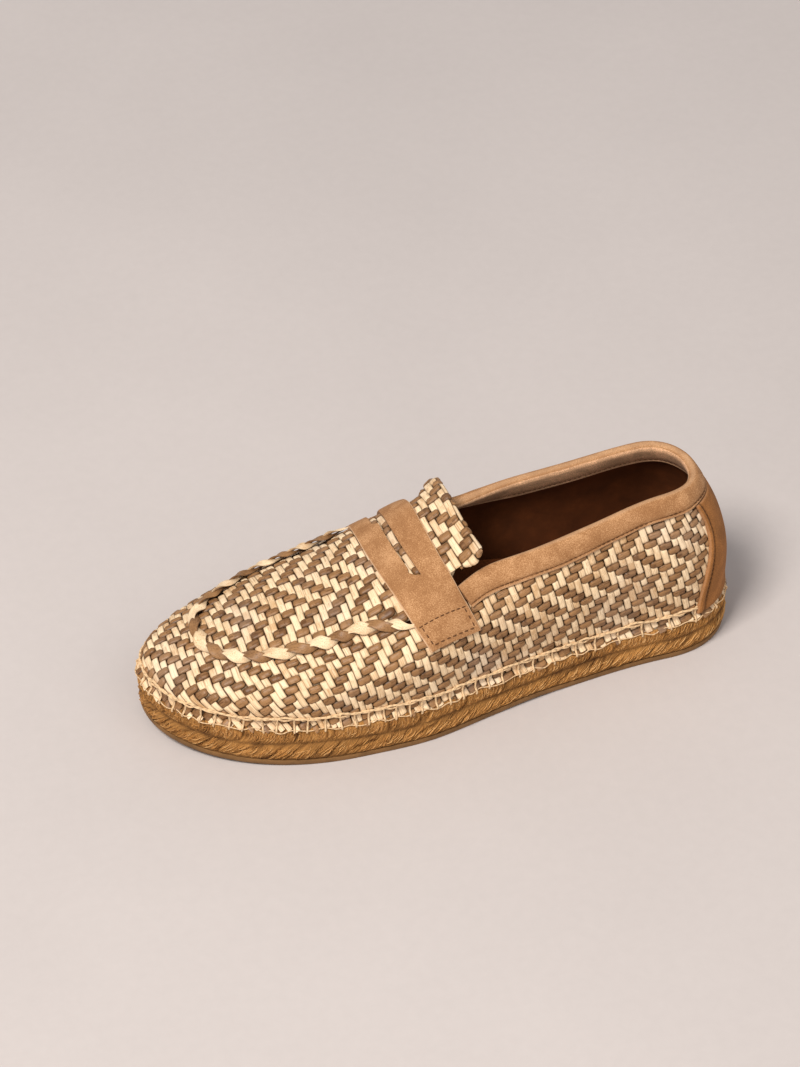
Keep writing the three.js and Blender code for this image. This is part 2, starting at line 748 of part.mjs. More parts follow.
// Back strip over the heel seam, from the collar leather down to the rope.
function patchBody() {
  const rows = 8;
  const columns = 8;
  const top = [];
  const foot = [];
  const quads = [];
  const girth = girthTable(0)[48].down;
  for (let i = 0; i <= rows; i += 1) {
    const down = mix(bindingDrop + clearance, girth - patchFootGap, i / rows);
    const wide = mix(patchTopHalf, patchFootHalf, smooth(i / rows * 0.9));
    for (let j = 0; j <= columns; j += 1) {
      const share = 2 * j / columns - 1;
      const { phi } = lookUp(girthTable(0), 'down', down);
      const narrowing = Math.cos(phi) ** (2 / roundness(0));
      const length = outlines[1][outlines[1].length - 1].walked;
      const ring = share * wide / (2 * length * narrowing);
      const own = girthTable(ring);
      const rise = lookUp(own, 'down', down * own[48].down / girth).phi;
      top.push(skin(ring, rise, clearance + patchThick));
      foot.push(skin(ring, rise, clearance));
      if (i > 0 && j > 0) {
        const here = i * (columns + 1) + j;
        quads.push([here, here - 1, here - columns - 2, here - columns - 1]);
      }
    }
  }
  return sheetBody(top, foot, quads);
}

// Two flat strands twisted into a cord that lies on the moccasin seam.
function seamPath() {
  const steps = 700;
  const leg = (side) => {
    const points = [];
    const start = strapFront(side * 1.1 * seamEdge(strapMiddle + strapWidth / 2, side));
    for (let i = 0; i <= steps; i += 1) {
      const turn = (i / steps) * Math.PI / 2;
      const x = start + (plugFront - 0.15 - start) * Math.sin(turn);
      points.push({ x, out: side * seamEdge(x, side) });
    }
    return points;
  };
  const all = [...leg(1), ...leg(-1).reverse()];
  let walked = 0;
  all.forEach((point, i) => {
    const before = all[Math.max(0, i - 1)];
    const step = Math.hypot(point.x - before.x, point.out - before.out);
    walked += Math.hypot(step, heightAt(point.x, point.out) - heightAt(before.x, before.out));
    point.walked = walked;
  });
  return all;
}
function braidBody() {
  const path = seamPath();
  const length = path[path.length - 1].walked;
  const stations = Math.round(length / braidStation);
  const onSeam = (walked) => {
    const { x, out } = lookUp(path, 'walked', clamp(walked, 0, length));
    return place(x, out, heightAt(x, out));
  };
  const up = (walked) => {
    const { x, out } = lookUp(path, 'walked', clamp(walked, 0, length));
    const along = place(x + 1, out, heightAt(x + 1, out)).sub(place(x - 1, out, heightAt(x - 1, out)));
    const sideways = place(x, out + 1, heightAt(x, out + 1)).sub(place(x, out - 1, heightAt(x, out - 1)));
    return along.cross(sideways).normalize();
  };
  const loops = [];
  for (let i = 0; i <= stations; i += 1) {
    const walked = mix(braidInset, length - braidInset, i / stations);
    const along = onSeam(walked + 1).sub(onSeam(walked - 1)).normalize();
    const normal = up(walked);
    const sideways = normal.clone().cross(along).normalize();
    const size = mix(0.4, 1, smooth(Math.min(walked, length - walked) / braidTaper));
    const twist = Math.PI * walked / braidPitch;
    const wide = size * braidWide / 2;
    const tall = size * braidTall / 2;
    const lift = clearance + 0.15 + Math.hypot(wide * Math.sin(twist), tall * Math.cos(twist));
    const loop = [];
    for (let j = 0; j < 8; j += 1) {
      const angle = (j / 8) * 2 * Math.PI;
      const a = wide * Math.cos(angle);
      const b = tall * Math.sin(angle);
      const point = onSeam(walked).addScaledVector(normal, lift);
      point.addScaledVector(sideways, a * Math.cos(twist) - b * Math.sin(twist));
      point.addScaledVector(normal, a * Math.sin(twist) + b * Math.cos(twist));
      loop.push(point);
    }
    loops.push(loop);
  }
  return loopBody(loops, false);
}

const group = new THREE.Group();
function add(name, geometry, look) {
  const mesh = new THREE.Mesh(geometry, new THREE.MeshStandardMaterial(look));
  mesh.name = name;
  group.add(mesh);
}

add('outsole', outsoleBody(), rubber);
add('jute_sole', ropeBody(), jute);
add('insole', insoleBody(), liningLeather);
add('upper', upperBody(), raffia);
add('apron_tongue', plugBody(), raffia);
add('apron_braid', braidBody(), raffia);
add('saddle_strap', strapBody(), suede);
add('collar_binding', bindingBody(), suede);
add('heel_patch', patchBody(), suede);

export default group;
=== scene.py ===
"""Looks of a woven espadrille loafer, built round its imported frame.

X runs to the toe, Y to the outer side of the foot and Z up. Shapes are worked out in millimetres as whole
arrays and written into the meshes in metres.
"""

import math
from types import SimpleNamespace

import bpy
import numpy as np
from mathutils import Matrix, Vector


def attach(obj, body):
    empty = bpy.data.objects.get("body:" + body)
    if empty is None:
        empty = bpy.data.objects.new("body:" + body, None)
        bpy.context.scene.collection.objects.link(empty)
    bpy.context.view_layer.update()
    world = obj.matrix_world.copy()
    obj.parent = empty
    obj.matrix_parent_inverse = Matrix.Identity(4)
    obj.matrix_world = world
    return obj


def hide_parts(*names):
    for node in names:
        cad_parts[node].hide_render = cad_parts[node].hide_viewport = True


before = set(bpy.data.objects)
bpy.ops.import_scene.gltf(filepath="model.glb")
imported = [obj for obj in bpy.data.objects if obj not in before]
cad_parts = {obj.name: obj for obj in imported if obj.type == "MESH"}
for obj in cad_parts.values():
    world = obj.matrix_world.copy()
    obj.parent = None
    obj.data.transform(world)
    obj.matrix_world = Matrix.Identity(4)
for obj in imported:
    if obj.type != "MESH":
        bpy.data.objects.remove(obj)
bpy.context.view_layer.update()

bl_info = {
    "name": "Woven Espadrille Loafer",
    "version": (1, 0, 0),
    "blender": (4, 5, 0),
    "location": "View3D > Sidebar > Loafer",
    "description": "Builds the woven upper, suede trim and rope sole of a slip-on shoe",
    "category": "Object",
}

METRES = 0.001  # one millimetre

# Camera that the photograph was taken with.
PHOTO_WIDTH, PHOTO_HEIGHT = 800, 1067
CAMERA_AZIMUTH = 163.473
CAMERA_ELEVATION = 41.84
CAMERA_ROLL = -0.636
CAMERA_DISTANCE = 1.904
FOCAL_PIXELS = 3989
TARGET = Vector((0, 0, 0.03))
TARGET_PIXEL = (434.6, 610.5)

# Lamps: name, azimuth and elevation in degrees, distance in metres, watts, width in metres and colour.
LAMPS = (
    ("key light", 128, 57, 3.0, 90, 1.0, (1.0, 0.965, 0.92)),
    ("fill light", 205, 40, 3.0, 19, 2.5, (1.0, 0.95, 0.88)),
)
SKY_COLOUR, SKY_STRENGTH = (0.95, 0.96, 1.0, 1.0), 0.38

# Shape of the last, in millimetres and in shares of the length.
HEEL_SHARE, TOE_SHARE = 0.13, 0.68
HEEL_SQUARE = 2.25
TOE_SQUARE = {1: 2.07, -1: 1.86}
TOE_SWING = 3.7
TOE_SPRING = 4.3
ARCH_RISE = 1.0
COUNTER_BULGE = 2.5
OUTER_WIDTHS = ((0.3, 0.69), (0.45, 0.845), (0.57, 0.985), (TOE_SHARE, 1))  # share of the ball's half width
INNER_WIDTHS = ((0.3, 0.705), (0.45, 0.86), (0.57, 0.96), (TOE_SHARE, 1))
CREST = (
    (0, 1.19, "collar_height"), (0.14, 1.23, "collar_height"), (0.3, 1.17, "collar_height"),
    (0.44, 1.055, "instep_height"), (0.55, 1, "instep_height"), (0.66, 0.84, "instep_height"),
    (0.78, 0.745, "instep_height"), (0.9, 1.1, "toe_height"), (1, 1, "toe_height"),
)
FEATHER = ((0, 0.97), (0.2, 0.96), (0.6, 1), (0.8, 1.05), (1, 0.98))  # share of the sole's height
ROUNDNESS = ((0, 1.85), (0.3, 2.05), (0.55, 2.85), (0.75, 2.3), (1, 2.2))  # power of the cross section
COLLAR_LINE = ((0, 0.975), (0.1, 1.01), (0.25, 0.95), (0.4, 0.872))  # share of the collar's height
# Run from the throat to the seam's round front, then outer and inner share of the apron's half width.
SEAM_WIDTHS = ((0, 1, 0.86), (0.5, 1.24, 1.08), (0.78, 1.1, 1.04), (1, 1, 1))
RUBBER_THICK = 3.0
ROPE_OUT = 2.2
CLEARANCE = 0.3
UPPER_WALL, LINING_FACE = 2.0, 1.3  # depth of the lining's inner and outer face under the last's surface
SEAM_GAP = 0.9
PLUG_ROUND = 70.0
PLUG_SQUARE = 2.4
TONGUE_REACH, TONGUE_RISE, TONGUE_HALF = 15.5, 8.5, 31.0
TONGUE_CORNER, TONGUE_FLAT = 8.0, 0.7  # radius of its corners, and share of the arch that flattens out
NECK_FRONT, NECK_RUN, NECK_ROOM = 9.0, 7.0, 2.5  # where the apron draws in under the strap, and by how much
FLARE_START, FLARE_RUN = 4.0, 8.0  # where the tongue widens again behind the strap
STRAP_THICK = 1.8
STRAP_OUTER_END, STRAP_INNER_END = 60.0, 61.0
STRAP_SKEW, STRAP_CURVE = 0.1, 0.0027
SLOT_REAR, SLOT_WIDTH, SLOT_NOTCH = -1.2, 3.1, 5.4
SLOT_OUTER, SLOT_STEP, SLOT_INNER = 25.5, -19.5, -46.0  # girth of the near tip, of the step and of the far end
STRAP_SLANT, STRAP_FLARE = 5.0, 1.6  # how the outer end is cut, and how much wider it is in front
BINDING_THICK, BINDING_INSIDE = 1.4, 12.0
COLLAR_FOLD = 1.5  # height of the folded collar over the upper's own edge
COLLAR_AT_HEEL, COLLAR_AT_STRAP = 0.7, 0.88  # share of the binding's drop that shows at each end
PATCH_TOP_HALF, PATCH_FOOT_HALF, PATCH_THICK = 23.0, 41.0, 1.6
FLANGE_OUT, FLANGE_DOWN, FLANGE_WIDTH = 0.72, 0.69, 3.4  # the upper's lower edge, turned out over the rope
ROLL = 1.5  # radius of the tongue's rolled edge
HUMP, HUMP_CENTRE, HUMP_WIDE, HUMP_RUN = 7.0, -10.0, 26.0, 19.0  # swelling under the strap's rear edge

# Lay of the weave.
QUARTER_SHARE = 0.6  # behind this share of the length the rows climb from the sole and draw together
ROW_CLIMB, ROW_GATHER = 0.18, 0.0006  # for each millimetre behind that place
STRIP_LEAN = 0.2  # how far the pale strips lean to the heel for each millimetre down the side
WEAVE_CENTRE = -0.45  # middle of the strips under the last's own surface
CREAM_SWING, BROWN_SWING = 0.5, 0.62  # how far the strips swing up and down from that middle
TWILL_SHIFTS = np.array([0, 1, 2, 3, 1, 0, 3, 2])  # herringbone: four rows step one way, the next four back
STRIP_STEPS = 5  # samples from one crossing to the next


def size(name, description, default):
    return bpy.props.FloatProperty(
        name=name, description=description, default=default, min=0.0, precision=4, unit="LENGTH"
    )


def shade(name, description, default):
    return bpy.props.FloatVectorProperty(
        name=name, description=description, default=default, size=3, min=0.0, max=1.0, subtype="COLOR"
    )


class LoaferSizes(bpy.types.PropertyGroup):
    """Sizes that set the shape of the shoe."""

    sole_length: size("Sole length", "Heel back to toe tip of the upper", 0.285)
    ball_outer: size("Outer ball", "Centre line to the outer edge at the ball", 0.0545)
    ball_inner: size("Inner ball", "Centre line to the inner edge at the ball", 0.0465)
    heel_width: size("Heel width", "Width of the upper at the heel", 0.066)
    sole_height: size("Sole height", "Floor to the line where the upper meets the rope", 0.0235)
    collar_height: size("Collar height", "Floor to the edge of the opening", 0.09)
    instep_height: size("Instep height", "Floor to the top of the instep", 0.077)
    toe_height: size("Toe height", "Floor to the top of the toe box", 0.045)
    plug_half_width: size("Apron half width", "Half width of the moccasin seam at its front", 0.034)
    plug_front: size("Apron front", "Heel back to the front of the moccasin seam", 0.258)
    throat: size("Throat", "Heel back to the front end of the opening", 0.144)
    strap_middle: size("Strap middle", "Heel back to the middle of the strap", 0.161)
    strap_width: size("Strap width", "Width of the saddle strap", 0.026)
    cream_pitch: size("Pale strip pitch", "Spacing of the strips across the foot", 0.0034)
    brown_pitch: size("Brown strip pitch", "Spacing of the strips along the foot", 0.0040)
    binding_drop: size("Binding drop", "Height of the collar leather outside", 0.0135)
    braid_wide: size("Braid width", "Width of the braid on the seam", 0.0058)
    braid_pitch: size("Braid pitch", "Length of one strand's turn", 0.019)
    lobe_pitch: size("Rope lobe pitch", "Length of one lobe of the plaited rope", 0.021)
    thread_pitch: size("Stitch pitch", "Spacing of the blanket stitches at the toe", 0.0072)


class LoaferColours(bpy.types.PropertyGroup):
    """Colours of the finishes."""

    cream_pale: shade("Pale strips, light", "Lightest of the pale strips", (0.95, 0.72, 0.46))
    cream_deep: shade("Pale strips, deep", "Deepest of the pale strips", (0.60, 0.36, 0.17))
    brown_pale: shade("Brown strips, light", "Lightest of the brown strips", (0.36, 0.185, 0.075))
    brown_deep: shade("Brown strips, deep", "Deepest of the brown strips", (0.13, 0.055, 0.018))
    suede: shade("Suede", "Nap of the strap and collar", (0.39, 0.19, 0.08))
    suede_light: shade("Suede, brushed", "Where the nap is brushed the other way", (0.60, 0.33, 0.16))
    # The deep suede colour also serves as painted shade in creases and seam grooves.
    suede_dark: shade("Suede, deep", "Folds and seams of the suede", (0.20, 0.08, 0.028))
    # Darker copy of the tan suede: painted shade for the heel side, which faces away from the key light.
    heel_suede: shade("Heel suede", "Nap of the heel strip", (0.33, 0.135, 0.04))
    facing: shade("Collar facing", "Inner side of the collar leather", (0.57, 0.325, 0.18))
    lining: shade("Lining", "Leather inside the shoe", (0.1, 0.027, 0.006))
    jute_light: shade("Jute, light", "Light fibres of the rope", (0.54, 0.255, 0.07))
    # The dark jute colour also serves as painted shade in the rope's grooves.
    jute_dark: shade("Jute, dark", "Grooves of the rope", (0.075, 0.027, 0.006))
    rubber: shade("Rubber", "Sole under the rope", (0.23, 0.115, 0.04))
    thread: shade("Thread", "Blanket stitch over the rope", (0.74, 0.51, 0.29))
    seam_thread: shade("Seam thread", "Stitching in the suede", (0.13, 0.055, 0.022))
    floor: shade("Floor", "Plain pale floor", (0.565, 0.51, 0.487))


def curve_through(rows, start=None, end=None):
    """Smooth curve through rows of (place, value): a cubic between rows whose slopes follow both chords."""
    x, y = np.array(rows, float).T
    chord = np.diff(y) / np.diff(x)
    slope = np.empty_like(y)
    slope[0] = chord[0] if start is None else start
    slope[-1] = chord[-1] if end is None else end
    before, after = np.diff(x)[:-1], np.diff(x)[1:]
    slope[1:-1] = (chord[1:] * before + chord[:-1] * after) / (before + after)

    def at(place):
        place = np.clip(place, x[0], x[-1])
        i = np.clip(np.searchsorted(x, place, side="right") - 1, 0, len(x) - 2)
        span = x[i + 1] - x[i]
        t = (place - x[i]) / span
        s, c = t * t, t * t * t
        low = (2 * c - 3 * s + 1) * y[i] + (c - 2 * s + t) * span * slope[i]
        return low + (3 * s - 2 * c) * y[i + 1] + (c - s) * span * slope[i + 1]

    return at


def mix(a, b, t):
    return a + (b - a) * t


def smooth(t):
    """Zero below 0, one above 1, and an S curve between."""
    t = np.clip(t, 0, 1)
    return t * t * (3 - 2 * t)


def unit(vectors):
    return vectors / np.maximum(np.linalg.norm(vectors, axis=-1, keepdims=True), 1e-9)


def wander(length, seed, wave, reach):
    """Slow random wave of the given wave length in millimetres: five sines of random phase."""
    rng = np.random.default_rng(seed)
    turns = rng.uniform(0.6, 1.6, 5) / wave
    phases = rng.uniform(0, 2 * math.pi, 5)
    waves = np.sin(2 * math.pi * np.multiply.outer(length, turns) + phases)
    return reach * waves.sum(axis=-1) / 2.2


def lengths_along(path):
    """Distance walked along a path to each of its points."""
    return np.concatenate([[0], np.cumsum(np.linalg.norm(np.diff(path, axis=0), axis=1))])


def at_lengths(here, lengths, rows):
    """Rows of a path, or of what goes with it, at other lengths along it."""
    return np.stack([np.interp(here, lengths, column) for column in rows.T], -1)


class Last:
    """The rounded body that the upper is pulled over: tables once, then point functions on whole arrays.

    The ring runs 0 at the heel back, 0.25 on the outer side, 0.5 at the toe tip and 0.75 on the inner side.
    The rise is an angle, 0 at the line where the upper meets the rope and a quarter turn on the crest.
    """

    RINGS = 720
    RISES = 64
    SHARES = 96

    def __init__(self, sizes):
        names = LoaferSizes.__annotations__
        self.size = SimpleNamespace(**{name: 1000 * getattr(sizes, name) for name in names})
        s = self.size
        scaled = lambda rows: [(share * s.sole_length, value) for share, value in rows]
        self.heel_end, self.toe_start = HEEL_SHARE * s.sole_length, TOE_SHARE * s.sole_length
        heel = (HEEL_SHARE, s.heel_width / 2)
        outer = [heel, *((share, value * s.ball_outer) for share, value in OUTER_WIDTHS)]
        inner = [heel, *((share, value * s.ball_inner) for share, value in INNER_WIDTHS)]
        self.outer_half = curve_through(scaled(outer), 0, 0)
        self.inner_half = curve_through(scaled(inner), 0, 0)
        self.crest = curve_through(scaled([(share, value * getattr(s, name)) for share, value, name in CREST]))
        self.feather_rise = curve_through(scaled([(share, value * s.sole_height) for share, value in FEATHER]))
        self.roundness = curve_through(scaled(ROUNDNESS))
        self.walk = {side: self.walk_outline(side) for side in (1, -1)}
        centre = self.seam_centre = s.plug_front - PLUG_ROUND
        seam = [(mix(s.throat, centre, run), *widths) for run, *widths in SEAM_WIDTHS]
        self.seam_outer = curve_through([(x, outer * s.plug_half_width) for x, outer, inner in seam], None, 0)
        self.seam_inner = curve_through([(x, inner * s.plug_half_width) for x, outer, inner in seam], None, 0)
        collar = scaled([(share, value * s.collar_height - COLLAR_FOLD) for share, value in COLLAR_LINE])
        self.topline = {}
        for side in (1, -1):
            seam_height = float(self.height_at(s.throat, side * self.seam_edge(s.throat, side)))
            self.topline[side] = curve_through([*collar, (s.throat, seam_height - COLLAR_FOLD / 2)])
        self.strap_rear = s.strap_middle - s.strap_width / 2
        self.tongue_end = self.strap_rear - TONGUE_REACH + ROLL
        self.fill_tables()

    def half(self, side, x):
        return np.where(np.asarray(side) > 0, self.outer_half(x), self.inner_half(x))

    def spring(self, x):
        low = 0.7 * self.size.sole_length
        return TOE_SPRING * np.clip((x - low) / (self.size.sole_length - low), 0, 1) ** 2

    def ground(self, x):
        start, span = 0.28 * self.size.sole_length, 0.2 * self.size.sole_length
        return self.spring(x) + ARCH_RISE * np.sin(np.pi * np.clip((x - start) / span, 0, 1)) ** 2

    def bend(self, x):
        return -TOE_SWING * np.clip((x - self.toe_start) / (self.size.sole_length - self.toe_start), 0, 1) ** 2

    def feather(self, x):
        return self.feather_rise(x) + self.spring(x)

    def place(self, x, side_way, z):
        """Point in the object's frame, from the heel-back distance, the sideways distance and the height."""
        return np.stack(np.broadcast_arrays(x - self.size.sole_length / 2, side_way + self.bend(x), z), -1)

    def walk_outline(self, side):
        """Plan outline of one side: superellipse quarters at heel and toe, and a width curve between them."""
        k = np.linspace(0, 1, 901)
        square = TOE_SQUARE[side]
        heel = np.clip(k / 0.3, 0, 1) * np.pi / 2
        toe = np.clip((k - 0.6) / 0.4, 0, 1) * np.pi / 2
        middle = mix(self.heel_end, self.toe_start, np.clip((k - 0.3) / 0.3, 0, 1))
        toe_x = self.toe_start + (self.size.sole_length - self.toe_start) * np.sin(toe) ** (2 / square)
        toe_out = self.half(side, self.toe_start) * np.abs(np.cos(toe)) ** (2 / square)
        heel_x = self.heel_end * (1 - np.abs(np.cos(heel)) ** (2 / HEEL_SQUARE))
        heel_out = self.size.heel_width / 2 * np.sin(heel) ** (2 / HEEL_SQUARE)
        x = np.where(k < 0.3, heel_x, np.where(k < 0.6, middle, toe_x))
        out = np.where(k < 0.3, heel_out, np.where(k < 0.6, self.half(side, middle), toe_out))
        out[-1] = 0
        walked = lengths_along(np.stack([x, out], -1))
        centre = np.clip(x, self.heel_end, self.toe_start)
        return {"x": x, "out": out, "centre": centre, "walked": walked, "length": walked[-1]}

    def rim(self, ring):
        """Side, heel-back distance, sideways distance and fan centre of the outline at a ring place."""
        turn = np.mod(ring, 1)
        side = np.where(turn < 0.5, 1, -1)
        share = np.where(side > 0, 2 * turn, 2 - 2 * turn)
        found = []
        for key in ("x", "out", "centre"):
            both = [np.interp(share, self.walk[k]["walked"] / self.walk[k]["length"], self.walk[k][key])
                    for k in (1, -1)]
            found.append(np.where(side > 0, both[0], both[1]))
        return side, found[0], found[1], found[2]

    def ring_at(self, side, x):
        rings = [np.interp(x, self.walk[k]["x"], self.walk[k]["walked"] / self.walk[k]["length"]) / 2
                 for k in (1, -1)]
        return np.where(np.asarray(side) > 0, rings[0], 1 - rings[1])

    def seam_edge(self, x, side):
        """Half width of the moccasin seam: a curve behind its round front, a superellipse round the front."""
        x = np.asarray(x, float)
        behind = np.where(np.asarray(side) > 0, self.seam_outer(x), self.seam_inner(x))
        run = np.clip((x - self.seam_centre) / PLUG_ROUND, 0, 1)
        front = self.size.plug_half_width * (1 - run ** PLUG_SQUARE) ** (1 / PLUG_SQUARE)
        found = np.where(x <= self.seam_centre, behind, front)
        return np.where(x >= self.size.plug_front, self.size.plug_front - x, found)

    def height_at(self, x, out):
        """Height of the bare last over a plan point: superellipse across, and radially over the toe."""
        x, out = np.broadcast_arrays(np.asarray(x, float), np.asarray(out, float))
        side = np.where(out >= 0, 1, -1)
        across = np.abs(out) / self.half(side, np.clip(x, self.heel_end, self.toe_start))
        square = np.where(side > 0, TOE_SQUARE[1], TOE_SQUARE[-1])
        ahead = np.clip((x - self.toe_start) / (self.size.sole_length - self.toe_start), 0, 1)
        rho = np.where(x > self.toe_start, (ahead ** square + across ** square) ** (1 / square), across)
        n = self.roundness(x)
        rise = np.maximum(0, 1 - np.minimum(1, rho) ** n) ** (1 / n)
        return mix(self.feather_rise(x), self.crest(x), rise) + self.spring(x)

    def top_rise(self, ring):
        """Rise of the upper's top edge: the collar height behind the throat, the seam in front of it."""
        side, foot_x, foot_out, centre = self.rim(ring)
        x = foot_x.copy()
        for _ in range(6):
            line = np.where(side > 0, self.topline[1](x), self.topline[-1](x))
            low = self.feather(x)
            share = np.clip((line - low) / (self.crest(x) + self.spring(x) - low), 0, 0.999)
            collar = np.arcsin(share ** (self.roundness(x) / 2))
            x = centre + np.cos(collar) ** (2 / self.roundness(x)) * (foot_x - centre)
        low, high = np.zeros_like(foot_x), np.ones_like(foot_x)
        for _ in range(30):
            rho = (low + high) / 2
            x = centre + rho * (foot_x - centre)
            inside = self.seam_edge(x, side) > rho * foot_out
            low, high = np.where(inside, rho, low), np.where(inside, high, rho)
        x = centre + low * (foot_x - centre)
        seam = np.arccos(np.minimum(1, low ** (self.roundness(x) / 2)))
        return np.where(foot_x < self.size.throat, collar, seam)

    def fill_tables(self):
        """Top edge, girth from the rope line to each rise, and its inverse, on an even grid of the ring."""
        rings = np.linspace(0, 1, self.RINGS + 1)
        self.tops = self.top_rise(rings)
        rises = np.linspace(0, np.pi / 2, self.RISES + 1)
        points = self.on_last(rings[:, None], rises[None, :])
        steps = np.linalg.norm(np.diff(points, axis=1), axis=-1)
        girth = np.concatenate([np.zeros((len(rings), 1)), np.cumsum(steps, axis=1)], axis=1)
        self.girths = girth[:, -1]
        shares = np.linspace(0, 1, self.SHARES + 1)
        self.rises = np.array([np.interp(shares * row[-1], row, rises) for row in girth])
        self.top_girths = np.array([np.interp(top, rises, row) for top, row in zip(self.tops, girth)])
        ahead = self.toe_start + 1e-6
        self.toe_fan = {}
        for side in (1, -1):
            walk = self.walk[side]
            front = walk["x"] >= ahead
            angle = np.arctan2(walk["out"][front], walk["x"][front] - self.toe_start)
            share = walk["walked"][front] / walk["length"] / 2
            ring = share if side > 0 else 1 - share
            self.toe_fan[side] = (angle[::-1], ring[::-1])
            self.walk[side]["toe"] = np.interp(self.toe_start, walk["x"], walk["walked"])
        rows = np.linspace(self.tongue_end, self.size.plug_front, 400)
        walked = lengths_along(self.plug_surface(rows, 0 * rows))
        self.apron_walk = (walked - np.interp(self.toe_start, rows, walked), rows)
        follow = QUARTER_SHARE * self.size.sole_length
        self.quarter_girth, self.quarter_walk = {}, {}
        for side, walk in self.walk.items():
            self.quarter_girth[side] = float(self.full_girth(self.ring_at(side, follow)))
            self.quarter_walk[side] = float(np.interp(follow, walk["x"], walk["walked"]))

    def from_ring(self, table, ring):
        turn = np.mod(ring, 1) * self.RINGS
        i = np.minimum(turn.astype(int), self.RINGS - 1)
        return mix(table[i], table[i + 1], turn - i)

    def full_girth(self, ring):
        return self.from_ring(self.girths, np.asarray(ring, float))

    def top_girth(self, ring):
        return self.from_ring(self.top_girths, np.asarray(ring, float))

    def collar_share(self, ring):
        """Share of the binding's drop at a ring place: narrower behind the heel."""
        return mix(COLLAR_AT_HEEL, COLLAR_AT_STRAP, smooth(self.rim(ring)[1] / self.size.throat))

    def rise_at(self, ring, girth):
        """Rise at a girth measured up from the rope line, by bilinear look-up."""
        ring, girth = np.broadcast_arrays(np.asarray(ring, float), np.asarray(girth, float))
        turn = np.mod(ring, 1) * self.RINGS
        i = np.minimum(turn.astype(int), self.RINGS - 1)
        f = turn - i
        share = np.clip(girth / self.full_girth(ring), 0, 1) * self.SHARES
        j = np.minimum(share.astype(int), self.SHARES - 1)
        g = share - j
        low = mix(self.rises[i, j], self.rises[i, j + 1], g)
        high = mix(self.rises[i + 1, j], self.rises[i + 1, j + 1], g)
        return mix(low, high, f)

    def fan_point(self, side, foot_x, foot_out, centre, rise, top):
        """Superellipse arc over a fan line from the rope line to its centre, with the quarter's soft bulge."""
        x = foot_x
        for _ in range(4):
            rho = np.abs(np.cos(rise)) ** (2 / self.roundness(x))
            x = centre + rho * (foot_x - centre)
        lift = np.abs(np.sin(rise)) ** (2 / self.roundness(x))
        z = mix(self.feather_rise(x), self.crest(x), lift) + self.spring(x)
        reach = np.hypot(foot_x - centre, foot_out)
        bulge = np.where(rise < top, COUNTER_BULGE * np.sin(np.pi * rise / top) ** 2, 0)
        out = rho * foot_out + bulge * foot_out / reach
        return self.place(x + bulge * (foot_x - centre) / reach, side * out, z)

    def on_last(self, ring, rise):
        ring, rise = np.broadcast_arrays(np.asarray(ring, float), np.asarray(rise, float))
        side, foot_x, foot_out, centre = self.rim(ring)
        return self.fan_point(side, foot_x, foot_out, centre, rise, self.from_ring(self.tops, ring))

    def normal_at(self, ring, rise):
        low = np.maximum(0, rise - 0.01)
        along = self.on_last(ring + 0.0015, rise) - self.on_last(ring - 0.0015, rise)
        up = self.on_last(ring, low + 0.02) - self.on_last(ring, low)
        return unit(np.cross(up, along))

    def skin(self, ring, rise, out):
        """Point of the last moved out along the surface's own normal."""
        ring, rise, out = np.broadcast_arrays(*(np.asarray(v, float) for v in (ring, rise, out)))
        return self.on_last(ring, rise) + self.normal_at(ring, rise) * out[..., None]

    def section(self, x, girth):
        """Point of the cross section at x, by girth from the crest, outer side positive."""
        ring = self.ring_at(np.where(girth >= 0, 1, -1), x)
        return self.on_last(ring, self.rise_at(ring, self.full_girth(ring) - np.abs(girth)))

    def section_skin(self, x, girth, out):
        """Cross section moved out along its normal, with the hump under the strap."""
        x, girth, out = np.broadcast_arrays(*(np.asarray(v, float) for v in (x, girth, out)))
        along = self.section(x + 1.5, girth) - self.section(x - 1.5, girth)
        sideways = self.section(x, girth + 1.5) - self.section(x, girth - 1.5)
        skin = self.section(x, girth) + unit(np.cross(along, sideways)) * out[..., None]
        return skin + np.stack([0 * x, 0 * x, self.hump(x - self.strap_drift(girth), girth)], -1)

    def draped(self, u, v):
        """Ring and girth under a point of flat cloth.

        Behind the toe, u follows the outline and v is girth from the crest; on the quarters the rows climb
        from the rope line and draw together. Over the toe box the cloth is laid out from its middle by
        distance and direction. Down the sides the cloth leans back.
        """
        u, v = np.broadcast_arrays(np.asarray(u, float), np.asarray(v, float))
        u = u - STRIP_LEAN * np.maximum(np.abs(v) - self.size.plug_half_width, 0)
        side = np.where(v >= 0, 1, -1)
        distance, angle = np.hypot(u, v), np.arctan2(np.abs(v), u)
        ring, reach = np.zeros_like(u), np.zeros_like(u)
        for k in (1, -1):
            walk = self.walk[k]
            share = np.clip((walk["toe"] + u) / walk["length"], 0, 1) / 2
            back = share if k > 0 else 1 - share
            front = np.interp(angle, *self.toe_fan[k])
            own = np.where(u > 0, front, back)
            full = self.full_girth(own)
            aft = np.maximum(self.quarter_walk[k] - walk["toe"] - u, 0)
            behind = np.where(aft > 0, self.quarter_girth[k] + ROW_CLIMB * aft, full)
            here = np.where(u > 0, full - distance, (behind - np.abs(v)) / (1 + ROW_GATHER * aft))
            ring, reach = np.where(side == k, own, ring), np.where(side == k, here, reach)
        return ring, reach

    def cloth(self, ring, reach, lift):
        """Skin at a girth above the rope line; below the line the cloth turns out over the rope."""
        ring, reach, lift = np.broadcast_arrays(*(np.asarray(v, float) for v in (ring, reach, lift)))
        skin = self.skin(ring, self.rise_at(ring, np.maximum(reach, 0.05)), lift)
        away = unit(self.normal_at(ring, np.full(ring.shape, 0.05)) * np.array([1, 1, 0]))
        below = np.maximum(-reach, 0)[..., None]
        return skin + below * (FLANGE_OUT * away - np.array([0, 0, FLANGE_DOWN]))

    def sides(self, u, v, lift):
        """Skin of the upper outside the moccasin seam under a point of flat cloth."""
        ring, reach = self.draped(u, v)
        return self.cloth(ring, reach, lift)

